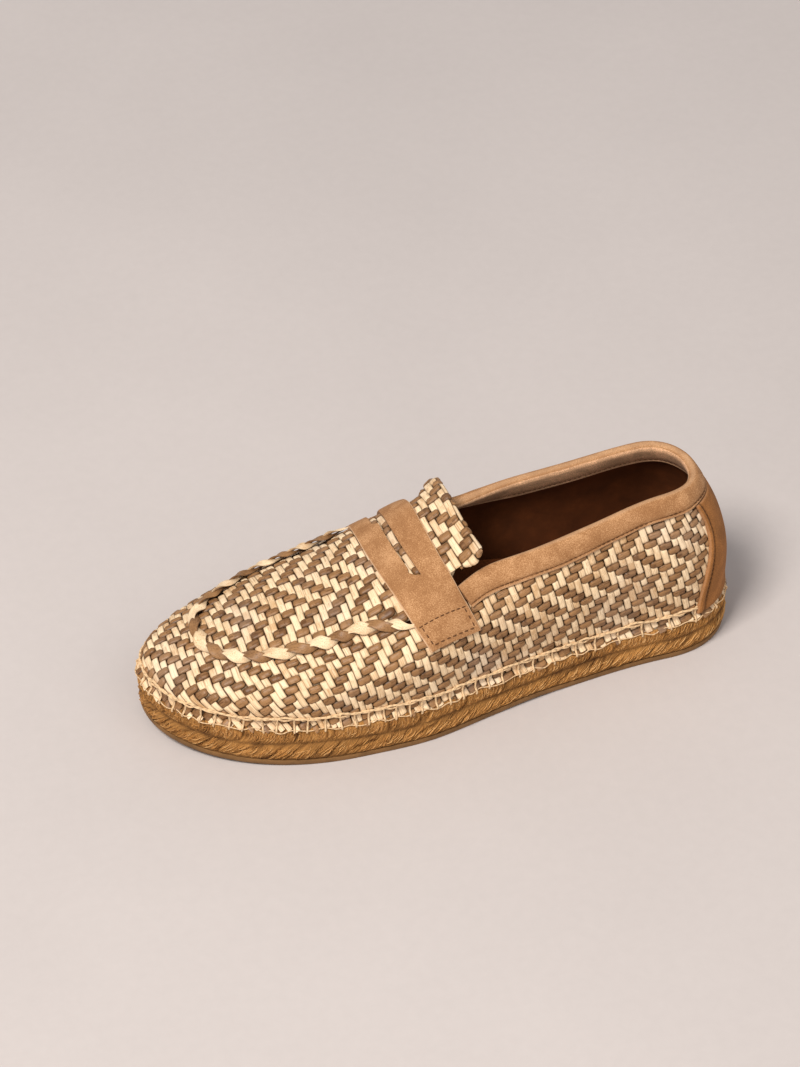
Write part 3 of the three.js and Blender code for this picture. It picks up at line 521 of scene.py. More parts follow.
    def strap_drift(self, girth):
        return -STRAP_SKEW * girth - STRAP_CURVE * girth * girth

    def plug_half(self, row, x, side):
        """Half width of the apron, with the neck under the strap and the round corners of the tongue."""
        behind = self.strap_rear - row
        room = UPPER_WALL + BINDING_THICK + 3 * CLEARANCE
        root = self.seam_edge(self.size.throat, side) - room - NECK_ROOM
        seam = np.maximum(2, self.seam_edge(x, side) - SEAM_GAP)
        left = np.clip(TONGUE_CORNER - (TONGUE_REACH - behind), 0, TONGUE_CORNER)
        rounding = TONGUE_CORNER - np.sqrt(np.maximum(0, TONGUE_CORNER ** 2 - left ** 2))
        tongue = mix(root, TONGUE_HALF, smooth((behind - FLARE_START) / FLARE_RUN)) - rounding
        neck = mix(seam, root, smooth((behind + NECK_FRONT) / NECK_RUN))
        return np.where(behind < -NECK_FRONT, seam, np.where(behind < 0, neck, tongue))

    def plug_x(self, row, out):
        s = self.size
        follow = smooth((s.strap_middle + s.strap_width - row) / s.strap_width)
        return row + follow * self.strap_drift(out * 1.06)

    def plug_surface(self, row, out):
        """The apron lies on the last, and behind the strap it rises and flattens into the tongue."""
        x = self.plug_x(row, out)
        behind = self.strap_rear - row
        raised = np.clip(behind / TONGUE_REACH, 0, 1.15)
        flatten = TONGUE_FLAT * smooth(behind / TONGUE_REACH)
        z = mix(self.height_at(x, out), self.height_at(x, 0 * out), flatten)
        return self.place(x, out, z + TONGUE_RISE * raised ** 1.2 + self.hump(row, out))

    def hump(self, row, out):
        """Extra height where the tongue starts to rise, soft across the foot."""
        rise = smooth((self.strap_rear + HUMP_RUN - row) / HUMP_RUN)
        return HUMP * rise * np.exp(-(((out - HUMP_CENTRE) / HUMP_WIDE) ** 2))

    def apron_row(self, u):
        """Row of the apron at a length along its crest, straight on past the tongue's end."""
        return np.interp(u, *self.apron_walk) + np.minimum(0, u - self.apron_walk[0][0])

    def past_edge(self, row, out):
        """How far a point lies past the free edge of the tongue, backwards and sideways."""
        side = np.where(out >= 0, 1, -1)
        inner = np.maximum(row, self.tongue_end)
        edge = self.plug_half(inner, self.plug_x(inner, out), side) - ROLL
        free = inner < self.strap_rear - 1
        return inner - row, np.where(free, np.maximum(np.abs(out) - edge, 0), 0)

    def plug_skin(self, row, out, lift):
        """Apron moved out along its normal; past the tongue's free edge it rolls under by a small radius."""
        row, out, lift = np.broadcast_arrays(*(np.asarray(v, float) for v in (row, out, lift)))
        back, beside = self.past_edge(row, out)
        side = np.where(out >= 0, 1, -1)
        row, out = row + back, out - side * beside
        along = unit(self.plug_surface(row + 0.5, out) - self.plug_surface(row - 0.5, out))
        sideways = unit(self.plug_surface(row, out + 0.5) - self.plug_surface(row, out - 0.5))
        normal = unit(np.cross(along, sideways))
        way = unit(sideways * (side * beside)[..., None] - along * back[..., None])
        angle, reach = (np.hypot(back, beside) / ROLL)[..., None], ROLL + lift[..., None]
        rolled = way * reach * np.sin(angle) + normal * (reach * np.cos(angle) - ROLL)
        return self.plug_surface(row, out) + rolled

    def plug_edge(self, row, side):
        """Sideways distance of the apron's own edge in one row."""
        out = side * self.plug_half(row, row, side)
        for _ in range(6):
            out = side * self.plug_half(row, self.plug_x(row, out), side)
        return out


def get_shoe(context):
    """The last and the colours that the panel sets."""
    colours = context.scene.loafer_colours
    plain = {name: tuple(getattr(colours, name)) for name in LoaferColours.__annotations__}
    return Last(context.scene.loafer_sizes), SimpleNamespace(**plain)


def make_piece(name, points, faces, finish, slot, replaces=(), attributes=None, sharp=50):
    """Writes points in millimetres and a list of face arrays into a mesh that rides on the shoe.

    A mesh whose enclosed volume comes out negative has its faces turned round, so that they look outward.
    """
    points = np.asarray(points, float).reshape(-1, 3)
    faces = [np.asarray(f, np.int64) for f in faces if len(f)]
    used = np.unique(np.concatenate([f.ravel() for f in faces]))
    renumber = np.full(len(points), -1)
    renumber[used] = np.arange(len(used))
    points, faces = points[used], [renumber[f] for f in faces]
    volume = 0.0
    for f in faces:
        for k in range(1, f.shape[1] - 1):
            a, b, c = points[f[:, 0]], points[f[:, k]], points[f[:, k + 1]]
            volume += np.einsum("ij,ij->", a, np.cross(b, c))
    if volume < 0:
        faces = [f[:, ::-1] for f in faces]
    mesh = bpy.data.meshes.new(name)
    mesh.vertices.add(len(points))
    mesh.vertices.foreach_set("co", (points * METRES).astype(np.float32).ravel())
    corners = np.concatenate([f.ravel() for f in faces]).astype(np.int32)
    widths = np.concatenate([np.full(len(f), f.shape[1]) for f in faces])
    mesh.loops.add(len(corners))
    mesh.loops.foreach_set("vertex_index", corners)
    mesh.polygons.add(len(widths))
    mesh.polygons.foreach_set("loop_start", (np.cumsum(widths) - widths).astype(np.int32))
    mesh.polygons.foreach_set("use_smooth", np.ones(len(widths), bool))
    mesh.update(calc_edges=True)
    if mesh.validate():
        raise RuntimeError(f"{name} has faces that Blender had to mend")
    mesh.set_sharp_from_angle(angle=math.radians(sharp))
    for key, values in (attributes or {}).items():
        layer = mesh.attributes.new(key, "FLOAT", "POINT")
        layer.data.foreach_set("value", np.asarray(values, np.float32).ravel()[used])
    piece = bpy.data.objects.new(name, mesh)
    bpy.context.scene.collection.objects.link(piece)
    mesh.materials.append(finish)
    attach(piece, "root")
    if replaces:
        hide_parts(*replaces)
    return piece


def grid_faces(rows, columns, wrap_rows=False, wrap_columns=False, start=0):
    """Quads of a grid whose points are numbered row by row."""
    i = np.arange(rows if wrap_rows else rows - 1)[:, None]
    j = np.arange(columns if wrap_columns else columns - 1)[None, :]
    i2, j2 = (i + 1) % rows, (j + 1) % columns
    corners = (i * columns + j, i * columns + j2, i2 * columns + j2, i2 * columns + j)
    return start + np.stack(np.broadcast_arrays(*corners), -1).reshape(-1, 4)


def loop_faces(loops, around, closed=False, start=0):
    """Faces of a tube made of loops: quads along it, and one face over each open end."""
    faces = [grid_faces(loops, around, closed, True, start)]
    if not closed:
        first = start + np.arange(around)[::-1][None, :]
        last = start + (loops - 1) * around + np.arange(around)[None, :]
        faces += [first, last]
    return faces


def sheet_faces(rows, columns, start=0):
    """Faces of a slab: a top grid, a bottom grid after it, and a wall round the rim."""
    count = rows * columns
    top = grid_faces(rows, columns, start=start)
    bottom = grid_faces(rows, columns, start=start + count)[:, ::-1]
    index = np.arange(count).reshape(rows, columns)
    rim = np.concatenate([index[0, :], index[1:, -1], index[-1, -2::-1], index[-2:0:-1, 0]])
    following = np.roll(rim, -1)
    wall = start + np.stack([following, rim, rim + count, following + count], -1)
    return [top, bottom, wall]


class Gather:
    """Collects many closed shapes into one mesh."""

    def __init__(self):
        self.points, self.faces, self.values, self.count = [], [], {}, 0

    def add(self, points, faces, **values):
        points = np.asarray(points, float).reshape(-1, 3)
        self.points.append(points)
        self.faces += [f + self.count for f in faces]
        for key, value in values.items():
            self.values.setdefault(key, []).append(np.broadcast_to(value, len(points)))
        self.count += len(points)

    def thread(self, path, radius, around, walked, closed=False, up=None):
        """Adds a tube with the length and the turn that its ply lines follow."""
        points, faces = tube(path, radius, around, closed, up)
        turn = np.tile(np.arange(around) / around, len(path))
        self.add(points, faces, along=np.repeat(walked, around), turn=turn)

    def piece(self, name, finish, slot):
        """Makes the gathered shapes one piece."""
        by_width = {}
        for f in self.faces:
            by_width.setdefault(f.shape[1], []).append(f)
        faces = [np.concatenate(group) for group in by_width.values()]
        values = {key: np.concatenate(parts) for key, parts in self.values.items()}
        return make_piece(name, np.concatenate(self.points), faces, finish, slot, (), values)


def tube(path, radius, around, closed=False, up=None):
    """Round tube along a path; the radius may change from point to point."""
    path = np.asarray(path, float)
    if closed:
        along = unit(np.roll(path, -1, 0) - np.roll(path, 1, 0))
    else:
        along = unit(np.gradient(path, axis=0))
    up = np.broadcast_to(np.array([0, 0, 1.0]) if up is None else up, path.shape)
    sideways = unit(np.cross(up, along))
    over = unit(np.cross(along, sideways))
    angle = 2 * np.pi * np.arange(around) / around
    radius = np.broadcast_to(radius, len(path))[:, None, None]
    ring = np.cos(angle)[:, None] * sideways[:, None] + np.sin(angle)[:, None] * over[:, None]
    return path[:, None] + radius * ring, loop_faces(len(path), around, closed)


class Finish:
    """Node material: each call adds one node and returns its output."""

    def __init__(self, name, roughness=0.5, specular=0.3, sheen=0.0):
        self.material = bpy.data.materials.new(name)
        self.material.use_nodes = True
        self.tree = self.material.node_tree
        self.tree.nodes.clear()
        self.shader = self.tree.nodes.new("ShaderNodeBsdfPrincipled")
        output = self.tree.nodes.new("ShaderNodeOutputMaterial")
        self.tree.links.new(self.shader.outputs["BSDF"], output.inputs["Surface"])
        for key, value in (("Roughness", roughness), ("Specular IOR Level", specular), ("Sheen Weight", sheen)):
            self.shader.inputs[key].default_value = value

    def node(self, kind, inputs=None, output=0, **settings):
        made = self.tree.nodes.new("ShaderNode" + kind)
        for key, value in settings.items():
            setattr(made, key, value)
        for key, value in (inputs or {}).items():
            if isinstance(value, bpy.types.NodeSocket):
                self.tree.links.new(value, made.inputs[key])
            else:
                made.inputs[key].default_value = value
        return made.outputs[output]

    def to_shader(self, key, value):
        self.tree.links.new(value, self.shader.inputs[key])

    def attribute(self, name):
        return self.node("Attribute", output="Fac", attribute_name=name)

    def place(self):
        """Object coordinates in millimetres."""
        coordinates = self.node("TexCoord", output="Object")
        return self.node("VectorMath", {0: coordinates, 1: (1000, 1000, 1000)}, operation="MULTIPLY")

    def math(self, operation, a, b=0.0, clamp=False):
        return self.node("Math", {0: a, 1: b}, operation=operation, use_clamp=clamp)

    def vector(self, x, y, z):
        return self.node("CombineXYZ", {"X": x, "Y": y, "Z": z})

    def noise(self, vector, scale, detail=2.0, rough=0.5, distortion=0.0):
        return self.node("TexNoise", {
            "Vector": vector, "Scale": scale, "Detail": detail, "Roughness": rough, "Distortion": distortion,
        })

    def ramp(self, factor, *stops):
        """Colour that runs through stops of (place, colour)."""
        output = self.node("ValToRGB", {"Fac": factor})
        elements = output.node.color_ramp.elements
        while len(elements) < len(stops):
            elements.new(0.5)
        for element, (place, colour) in zip(elements, stops):
            element.position = place
            element.color = (*colour, 1.0)
        return output

    def spread(self, value, low, high, to_low=0.0, to_high=1.0):
        inputs = {"Value": value, "From Min": low, "From Max": high, "To Min": to_low, "To Max": to_high}
        return self.node("MapRange", inputs)

    def total(self, *parts, plus=0.0):
        """Sum of values, each times its own weight, and a constant."""
        for value, weight in parts:
            plus = self.node("Math", {0: value, 1: weight, 2: plus}, operation="MULTIPLY_ADD")
        return plus

    def grain(self, across, wide, along, long, third, detail, rough):
        """Noise drawn out along a strip or a fibre."""
        place = self.vector(self.math("MULTIPLY", across, wide), self.math("MULTIPLY", along, long), third)
        return self.noise(place, 1.0, detail, rough)

    def tint(self, colour, other, value, low, high, most):
        """Colour that turns into another while a value goes from low to high."""
        return self.blend(self.spread(value, low, high, 0.0, most), colour, other)

    def blend(self, factor, a, b):
        made = self.tree.nodes.new("ShaderNodeMix")
        made.data_type = "RGBA"
        for index, value in ((0, factor), (6, a), (7, b)):
            if isinstance(value, bpy.types.NodeSocket):
                self.tree.links.new(value, made.inputs[index])
            elif index == 0:
                made.inputs[0].default_value = value
            else:
                made.inputs[index].default_value = (*value, 1.0)
        return made.outputs[2]

    def bump(self, height, strength, distance):
        """Small relief; the distance is in millimetres."""
        inputs = {"Height": height, "Strength": strength, "Distance": distance * METRES}
        self.to_shader("Normal", self.node("Bump", inputs))


def times(colour, share):
    return tuple(share * c for c in colour)


def between(a, b, share):
    return tuple(mix(x, y, share) for x, y in zip(a, b))


def greyed(colour):
    """The same lightness with most of the colour gone."""
    grey = 0.3 * colour[0] + 0.59 * colour[1] + 0.11 * colour[2]
    return between(colour, (grey, grey, grey), 0.55)


def strip_finish(name, pale, deep, roughness, grain):
    """Flat plant strip: tone from strip to strip, grain lines along it and small stains, with painted shade in
    its fine splits, along its edges and where it dives under the crossing strip.
    """
    f = Finish(name, specular=0.3)
    tone, across, along = f.attribute("tone"), f.attribute("across"), f.attribute("along")
    lines = f.grain(across, grain, along, 0.09, f.math("MULTIPLY", tone, 37.0), 4.0, 0.62)
    splits = f.grain(across, 2.2 * grain, along, 0.06, f.math("MULTIPLY", tone, 91.0), 1.0, 0.5)
    blotch = f.noise(f.place(), 0.16, 3.0, 0.6)
    aged = f.noise(f.place(), 0.035, 2.0, 0.5)
    mixed = f.total((tone, 1.0), (lines, 1.3), (blotch, 0.55), plus=-0.925)
    colour = f.ramp(mixed, (0.05, deep), (0.4, between(deep, pale, 0.65)), (0.8, pale))
    # Painted shade in the fine splits along the strip.
    colour = f.tint(colour, times(deep, 0.7), splits, 0.57, 0.66, 0.7)
    colour = f.tint(colour, greyed(pale), aged, 0.5, 0.68, 0.28)
    # Painted shade along the strip's edges, where it meets its neighbours.
    colour = f.tint(colour, times(deep, 0.35), f.math("ABSOLUTE", across), 0.7, 1.0, 0.75)
    # Painted shade where the strip dives under the crossing strip (low swing).
    colour = f.tint(colour, times(deep, 0.22), f.attribute("swing"), 0.5, -0.5, 0.85)
    f.to_shader("Base Color", colour)
    f.to_shader("Roughness", f.spread(lines, 0.2, 0.8, roughness - 0.08, roughness + 0.12))
    f.bump(lines, 0.55, 0.14)
    return f.material


def strip_finishes(colours, place, pale_grain, brown_grain):
    """Finishes of the pale and of the brown strips of one piece."""
    return (
        strip_finish(f"pale {place}", colours.cream_pale, colours.cream_deep, 0.5, pale_grain),
        strip_finish(f"brown {place}", colours.brown_pale, colours.brown_deep, 0.42, brown_grain),
    )


def suede_finish(name, nap, brushed, deep, worn_edge=0.35):
    """Suede: brushed patches, short fibre noise, darker pores, a paler cut edge where the piece gives one, and
    painted shade in its creases and seam grooves.
    """
    f = Finish(name, roughness=0.93, specular=0.1, sheen=0.05)
    f.shader.inputs["Sheen Tint"].default_value = (1.0, 0.86, 0.72, 1.0)
    place = f.place()
    patches = f.noise(place, 0.11, 3.0, 0.55, 0.4)
    fibre = f.noise(place, 2.1, 3.0, 0.6)
    pores = f.noise(place, 3.0, 2.0, 0.5)
    mixed = f.total((patches, 0.65), (fibre, 1.2), plus=-0.425)
    colour = f.ramp(mixed, (0.28, between(nap, deep, 0.5)), (0.5, nap), (0.72, brushed))
    colour = f.tint(colour, between(nap, deep, 0.5), pores, 0.52, 0.7, 0.45)
    worn = f.math("MULTIPLY", f.attribute("edge"), worn_edge, True)
    colour = f.blend(worn, colour, between(brushed, (1, 0.85, 0.65), 0.25))
    # Painted shade in creases and seam grooves.
    colour = f.blend(f.math("MULTIPLY", f.attribute("crease"), 0.8, True), colour, times(deep, 0.75))
    f.to_shader("Base Color", colour)
    f.bump(f.total((pores, 0.5), (fibre, 1.0)), 0.5, 0.16)
    return f.material


def thread_finish(name, colour, twist):
    """Twisted thread: slanting ply lines from the piece's own length and turn, with slight colour change."""
    f = Finish(name, roughness=0.85, specular=0.2)
    turn, along = f.attribute("turn"), f.attribute("along")
    ply = f.math("SINE", f.total((along, twist), (turn, 2 * math.pi)))
    mixed = f.total((ply, 0.12), (f.noise(f.place(), 0.9, 3.0, 0.6), 1.0))
    colour = f.ramp(mixed, (0.2, times(colour, 0.5)), (0.5, colour), (0.85, times(colour, 1.18)))
    f.to_shader("Base Color", colour)
    f.bump(ply, 0.4, 0.1)
    return f.material


def jute_finish(colours):
    """Rope side: streaks along the fibres, with painted shade in the grooves and painted light on the ridges.
    """
    light, dark = colours.jute_light, colours.jute_dark
    f = Finish("jute rope", roughness=0.88, specular=0.22)
    across, along = f.attribute("fibre"), f.attribute("run")
    streaks = f.grain(across, 1.7, along, 0.16, 0.0, 5.0, 0.7)
    fine = f.grain(across, 5.5, along, 0.5, 3.0, 3.0, 0.6)
    patches = f.noise(f.place(), 0.07, 2.0, 0.5)
    # The ridge term is painted light on the ridges and painted shade in the grooves.
    mixed = f.total((streaks, 0.8), (fine, 0.35), (patches, 0.7), (f.attribute("ridge"), 0.3), plus=-0.35)
    middle, bleached = between(dark, light, 0.55), between(light, (1, 0.8, 0.45), 0.35)
    f.to_shader("Base Color", f.ramp(mixed, (0.28, dark), (0.55, middle), (0.78, light), (0.98, bleached)))
    f.bump(f.total((fine, 0.6), (streaks, 1.0)), 0.9, 0.35)
    return f.material


def leather_finish(name, colour, pale, roughness=0.8):
    """Plain leather or rubber: slow colour change and a fine grain."""
    f = Finish(name, roughness, specular=0.25)
    place = f.place()
    slow = f.noise(place, 0.09, 4.0, 0.6)
    grain = f.noise(place, 2.6, 4.0, 0.6)
    mixed = f.total((slow, 0.8), (grain, 0.25))
    f.to_shader("Base Color", f.ramp(mixed, (0.3, times(colour, 0.6)), (0.55, colour), (0.85, pale)))
    f.bump(grain, 0.4, 0.12)
    return f.material


def ribbon_piece(name, points, used, attributes, finish, slot, replaces=()):
    """Many flat strips in one mesh: points are strips by samples by outline, and used says which samples exist.

    Each unbroken run of used samples becomes a tube of quads with one face over each end.
    """
    strips, samples, around = points.shape[:3]
    index = np.arange(strips * samples).reshape(strips, samples)
    both = used[:, :-1] & used[:, 1:]
    here, there = index[:, :-1][both][:, None] * around, index[:, 1:][both][:, None] * around
    j = np.arange(around)[None, :]
    k = (j + 1) % around
    quads = np.stack([here + j, here + k, there + k, there + j], -1).reshape(-1, 4)
    before = np.pad(both, ((0, 0), (1, 0)))
    after = np.pad(both, ((0, 0), (0, 1)))
    first = index[after & ~before][:, None] * around + j[:, ::-1]
    last = index[before & ~after][:, None] * around + j
    values = {key: np.broadcast_to(value, points.shape[:3]) for key, value in attributes.items()}
    return make_piece(name, points, [quads, first, last], finish, slot, replaces, values)


# Outline of a strip: place across its half width, and height over its middle as a share of its thickness.
STRIP_OUTLINE = np.array([
    (-1, -0.5), (-0.86, 0.15), (-0.35, 0.5), (0.35, 0.5), (0.86, 0.15), (1, -0.5),
])


def woven(name, surface, inside, lines, run, pitch, over, look, finish, slot, seed, replaces=()):
    """Strips of one direction of the weave.

    Each strip follows a line of the flat cloth. Its height swings between two levels, up where it lies over
    the crossing strip and down where it lies under, with an S curve in the gap between crossings.
    """
    rng = np.random.default_rng(seed)
    width, thick, swing, steep, narrow, skew, reach = look
    count = round((run[1] - run[0]) / pitch * STRIP_STEPS)
    along = np.linspace(run[0], run[1], count + 1)
    crossing = along / pitch - 0.5
    low = np.floor(crossing).astype(int)
    blend = smooth((crossing - low - 0.5) * steep + 0.5)
    numbers = np.arange(len(lines))
    state = lambda cell: np.where(over(numbers[:, None], cell[None, :]), 1.0, -1.0)
    level = np.clip((mix(state(low), state(low + 1), blend[None, :]) + reach) / (1 - abs(reach)), -1, 1)
    cell_tone = rng.uniform(-1, 1, (len(lines), low.max() - low.min() + 2))
    nearest = np.round(crossing).astype(int) - low.min()
    cell_tone = cell_tone[:, np.clip(nearest, 0, None)]
    tone = 0.5 + 0.28 * rng.uniform(-1, 1, (len(lines), 1)) + 0.14 * cell_tone
    drift = np.array([wander(along, seed + 7 * n, 7 * pitch, 0.17) for n in numbers])
    wide = width * (1 + 0.06 * rng.uniform(-1, 1, (len(lines), 1))) * mix(narrow, 1, (1 + level) / 2)
    drift = drift - skew * np.gradient(level, along, axis=1)
    jitter = 0.07 * rng.uniform(-1, 1, (len(lines), 1)) + 0.05 * cell_tone
    shape = STRIP_OUTLINE[None, None]
    line = (lines[:, None] + drift)[..., None] + wide[..., None] / 2 * shape[..., 0]
    tilt = 0.1 * cell_tone[..., None] * shape[..., 0]
    lift = (WEAVE_CENTRE + swing * level + jitter)[..., None] + thick * shape[..., 1] + tilt
    path = np.broadcast_to(along[None, :, None], line.shape)
    points, centre_inside = surface(line, path, lift), inside(lines[:, None] + drift, along[None, :])
    attributes = {
        "tone": tone[..., None],
        # The place across also sets the painted shade along the strip's edges.
        "across": shape[..., 0],
        "along": path + rng.uniform(0, 900, (len(lines), 1, 1)),
        # The swing level also sets the painted shade where a strip dives under.
        "swing": level[..., None],
    }
    return ribbon_piece(name, points, centre_inside, attributes, finish, slot, replaces)


def lies_over(cream, brown, start):
    """True where the brown strip shows: over two pale strips and under two, moved by one from row to row."""
    return np.mod(cream - TWILL_SHIFTS[np.mod(brown - start, len(TWILL_SHIFTS))] + start, 4) < 2


# Width in pitches, thickness, swing, steepness of the dive, width where it lies under, skew of a float, and how
# far the float reaches past its crossings.
CREAM_LOOK = (0.99, 0.42, CREAM_SWING, 2.2, 0.92, 0.0, 0.3)
BROWN_LOOK = (0.98, 0.9, BROWN_SWING, 1.3, 0.2, 0.2, -0.36)


def woven_pair(name, last, surface, inside, creams, browns, pitch, start, finishes, slot, seed):
    """Pale strips across the foot and brown strips along it, woven into each other.

    The surface and the test for what lies inside take a place along the foot and one across it.
    """
    cream = last.size.cream_pitch
    woven(
        f"{name}_pale_strips", surface, inside,
        (creams + 0.5) * cream, (browns[0] * pitch, browns[-1] * pitch), pitch,
        lambda n, cell: ~lies_over(creams[n], cell, start),
        (CREAM_LOOK[0] * cream, *CREAM_LOOK[1:]), finishes[0], slot, seed, (slot,),
    )
    woven(
        f"{name}_brown_strips", lambda line, path, lift: surface(path, line, lift), lambda v, u: inside(u, v),
        (browns + 0.5) * pitch, (creams[0] * cream, creams[-1] * cream), cream,
        lambda n, cell: lies_over(cell, browns[n], start),
        (BROWN_LOOK[0] * pitch, *BROWN_LOOK[1:]), finishes[1], slot, seed + 1,
    )


class LOAFER_OT_sides(bpy.types.Operator):
    """Woven strips of the upper outside the moccasin seam"""

    bl_idname = "loafer.sides"
    bl_label = "Woven sides"

    def execute(self, context):
        last, colours = get_shoe(context)
        s = last.size

        def inside(u, v):
            ring, reach = last.draped(u, v)
            top = last.top_girth(ring)
            x = last.rim(ring)[1]
            margin = np.where(x < s.throat, 2.0, 0.6)
            beyond = (u > 0) | (last.walk[1]["toe"] + u > 0.5)
            return (reach > -FLANGE_WIDTH) & (reach < top - margin) & beyond

        back = -max(last.walk[k]["toe"] for k in (1, -1))
        front = s.sole_length - last.toe_start + 50
        widest = max(last.quarter_girth.values()) + ROW_CLIMB * s.sole_length * QUARTER_SHARE + 8
        creams = np.arange(math.floor(back / s.cream_pitch), math.ceil(front / s.cream_pitch))
        browns = np.arange(-math.ceil(widest / s.brown_pitch), math.ceil(widest / s.brown_pitch))
        woven_pair("upper", last, last.sides, inside, creams, browns, s.brown_pitch, 3,
                   strip_finishes(colours, "raffia", 2.6, 2.0), "upper", 11)
        return {"FINISHED"}


APRON_STRETCH = 1.04  # girth over plan width on the apron
APRON_SPREAD = 1.15  # brown rows of the apron lie this much further apart than those of the sides


class LOAFER_OT_apron(bpy.types.Operator):
    """Woven strips of the apron and the tongue behind the strap"""

    bl_idname = "loafer.apron"
    bl_label = "Woven apron and tongue"

    def execute(self, context):
        last, colours = get_shoe(context)
        s = last.size

        def surface(u, v, lift):
            return last.plug_skin(last.apron_row(u), v / APRON_STRETCH, lift)

        def inside(u, v):
            row, out = last.apron_row(u), v / APRON_STRETCH
            side = np.where(out >= 0, 1, -1)
            half = last.plug_half(row, last.plug_x(row, out), side)
            free = np.hypot(*last.past_edge(row, out)) < 2.1 * ROLL
            within = np.where(row < last.strap_rear - 1, free, np.abs(out) < half - 0.4)
            return within & (row < s.plug_front - SEAM_GAP)

        creams = np.arange(math.floor(last.apron_walk[0][0] / s.cream_pitch) - 2,
                           math.ceil(last.apron_walk[0][-1] / s.cream_pitch) + 1)
        half = 1.3 * s.plug_half_width * APRON_STRETCH
        pitch = APRON_SPREAD * s.brown_pitch
        browns = np.arange(-math.ceil(half / pitch), math.ceil(half / pitch))
        woven_pair("apron", last, surface, inside, creams, browns, pitch, 2,
                   strip_finishes(colours, "raffia apron", 2.6, 2.0), "apron_tongue", 21)
        return {"FINISHED"}


class LOAFER_OT_lining(bpy.types.Operator):
    """Leather inside the upper, under the apron and on the insole"""

    bl_idname = "loafer.lining"
    bl_label = "Lining and insole"

    AROUND, UP = 360, 15  # points round the upper, and up each of its faces
    ROWS, COLUMNS = 60, 31  # points along and across the apron

    def execute(self, context):
        last, colours = get_shoe(context)
        s = last.size
        lining = leather_finish("lining leather", colours.lining, times(colours.lining, 1.7), 0.75)
        rings = np.arange(self.AROUND)[:, None] / self.AROUND
        shares = np.linspace(0, 1, self.UP)
        walls = [
            last.skin(rings, last.rise_at(rings, last.top_girth(rings) * way), lift)
            for way, lift in ((shares, -LINING_FACE), (shares[::-1], -UPPER_WALL))
        ]
        walls[1][:, -1, 2] = walls[0][:, 0, 2]
        faces = [grid_faces(self.AROUND, 2 * self.UP, True, True)]
        make_piece("upper_lining", np.concatenate(walls, axis=1), faces, lining, "upper")
        rows = np.linspace(s.plug_front - 2, last.tongue_end + 0.3, self.ROWS)[:, None]
        across = np.linspace(-1, 1, self.COLUMNS)[None, :]
        edge = np.where(across >= 0, last.plug_edge(rows, 1), last.plug_edge(rows, -1))
        out = across * (np.abs(edge) - ROLL - 0.3)
        sheets = [last.plug_skin(rows, out, lift).reshape(-1, 3) for lift in (-LINING_FACE, -UPPER_WALL)]
        faces = sheet_faces(self.ROWS, self.COLUMNS)
        make_piece("apron_lining", np.concatenate(sheets), faces, lining, "apron_tongue")
        self.insole(last, colours)
        return {"FINISHED"}

    def insole(self, last, colours):
        """Footbed: the outline drawn in by rings, dished in the middle, with a rolled edge."""
        finish = leather_finish("footbed leather", times(colours.lining, 1.7), times(colours.lining, 2.6), 0.7)
        rings = np.arange(240) / 240
        profile = ((-2.6, 0.0), (-2.4, 1.8), (-2.9, 2.7), (-3.8, 3.0), (-6.5, 2.75), (-11, 2.3), (-17, 1.9))
        loops = [
            last_ring(last, rings, out, lambda place, r=rise: last.feather(place) + r) for out, rise in profile
        ]
        make_piece("footbed", *disc(loops), finish, "insole", ("insole",))


def last_ring(last, rings, out, height):
    """Rope line moved out in plan, at a height that follows the place along the sole."""
    point = last.on_last(rings, 0 * rings)
    along = last.on_last(rings + 0.001, 0 * rings) - last.on_last(rings - 0.001, 0 * rings)
    away = unit(np.stack([-along[:, 1], along[:, 0], 0 * along[:, 0]], -1))
    point = point + away * np.broadcast_to(out, len(rings))[:, None]
    point[:, 2] = height(np.clip(point[:, 0] + last.size.sole_length / 2, 0, last.size.sole_length))
    return point


def disc(loops):
    """Loops from the bottom up, closed below and above by rungs across the width."""
    around = len(loops[0])
    faces = [grid_faces(len(loops), around, False, True)]
    i = np.arange(1, around // 2 - 1)
    rungs = np.stack([i, around - i, around - i - 1, i + 1], -1)
    ends = np.array([[0, around - 1, 1], [around // 2 - 1, around // 2 + 1, around // 2]])
    top = (len(loops) - 1) * around
    faces += [rungs[:, ::-1], ends[:, ::-1], rungs + top, ends + top]
    faces[0] = faces[0][:, ::-1]
    return np.concatenate(loops), faces


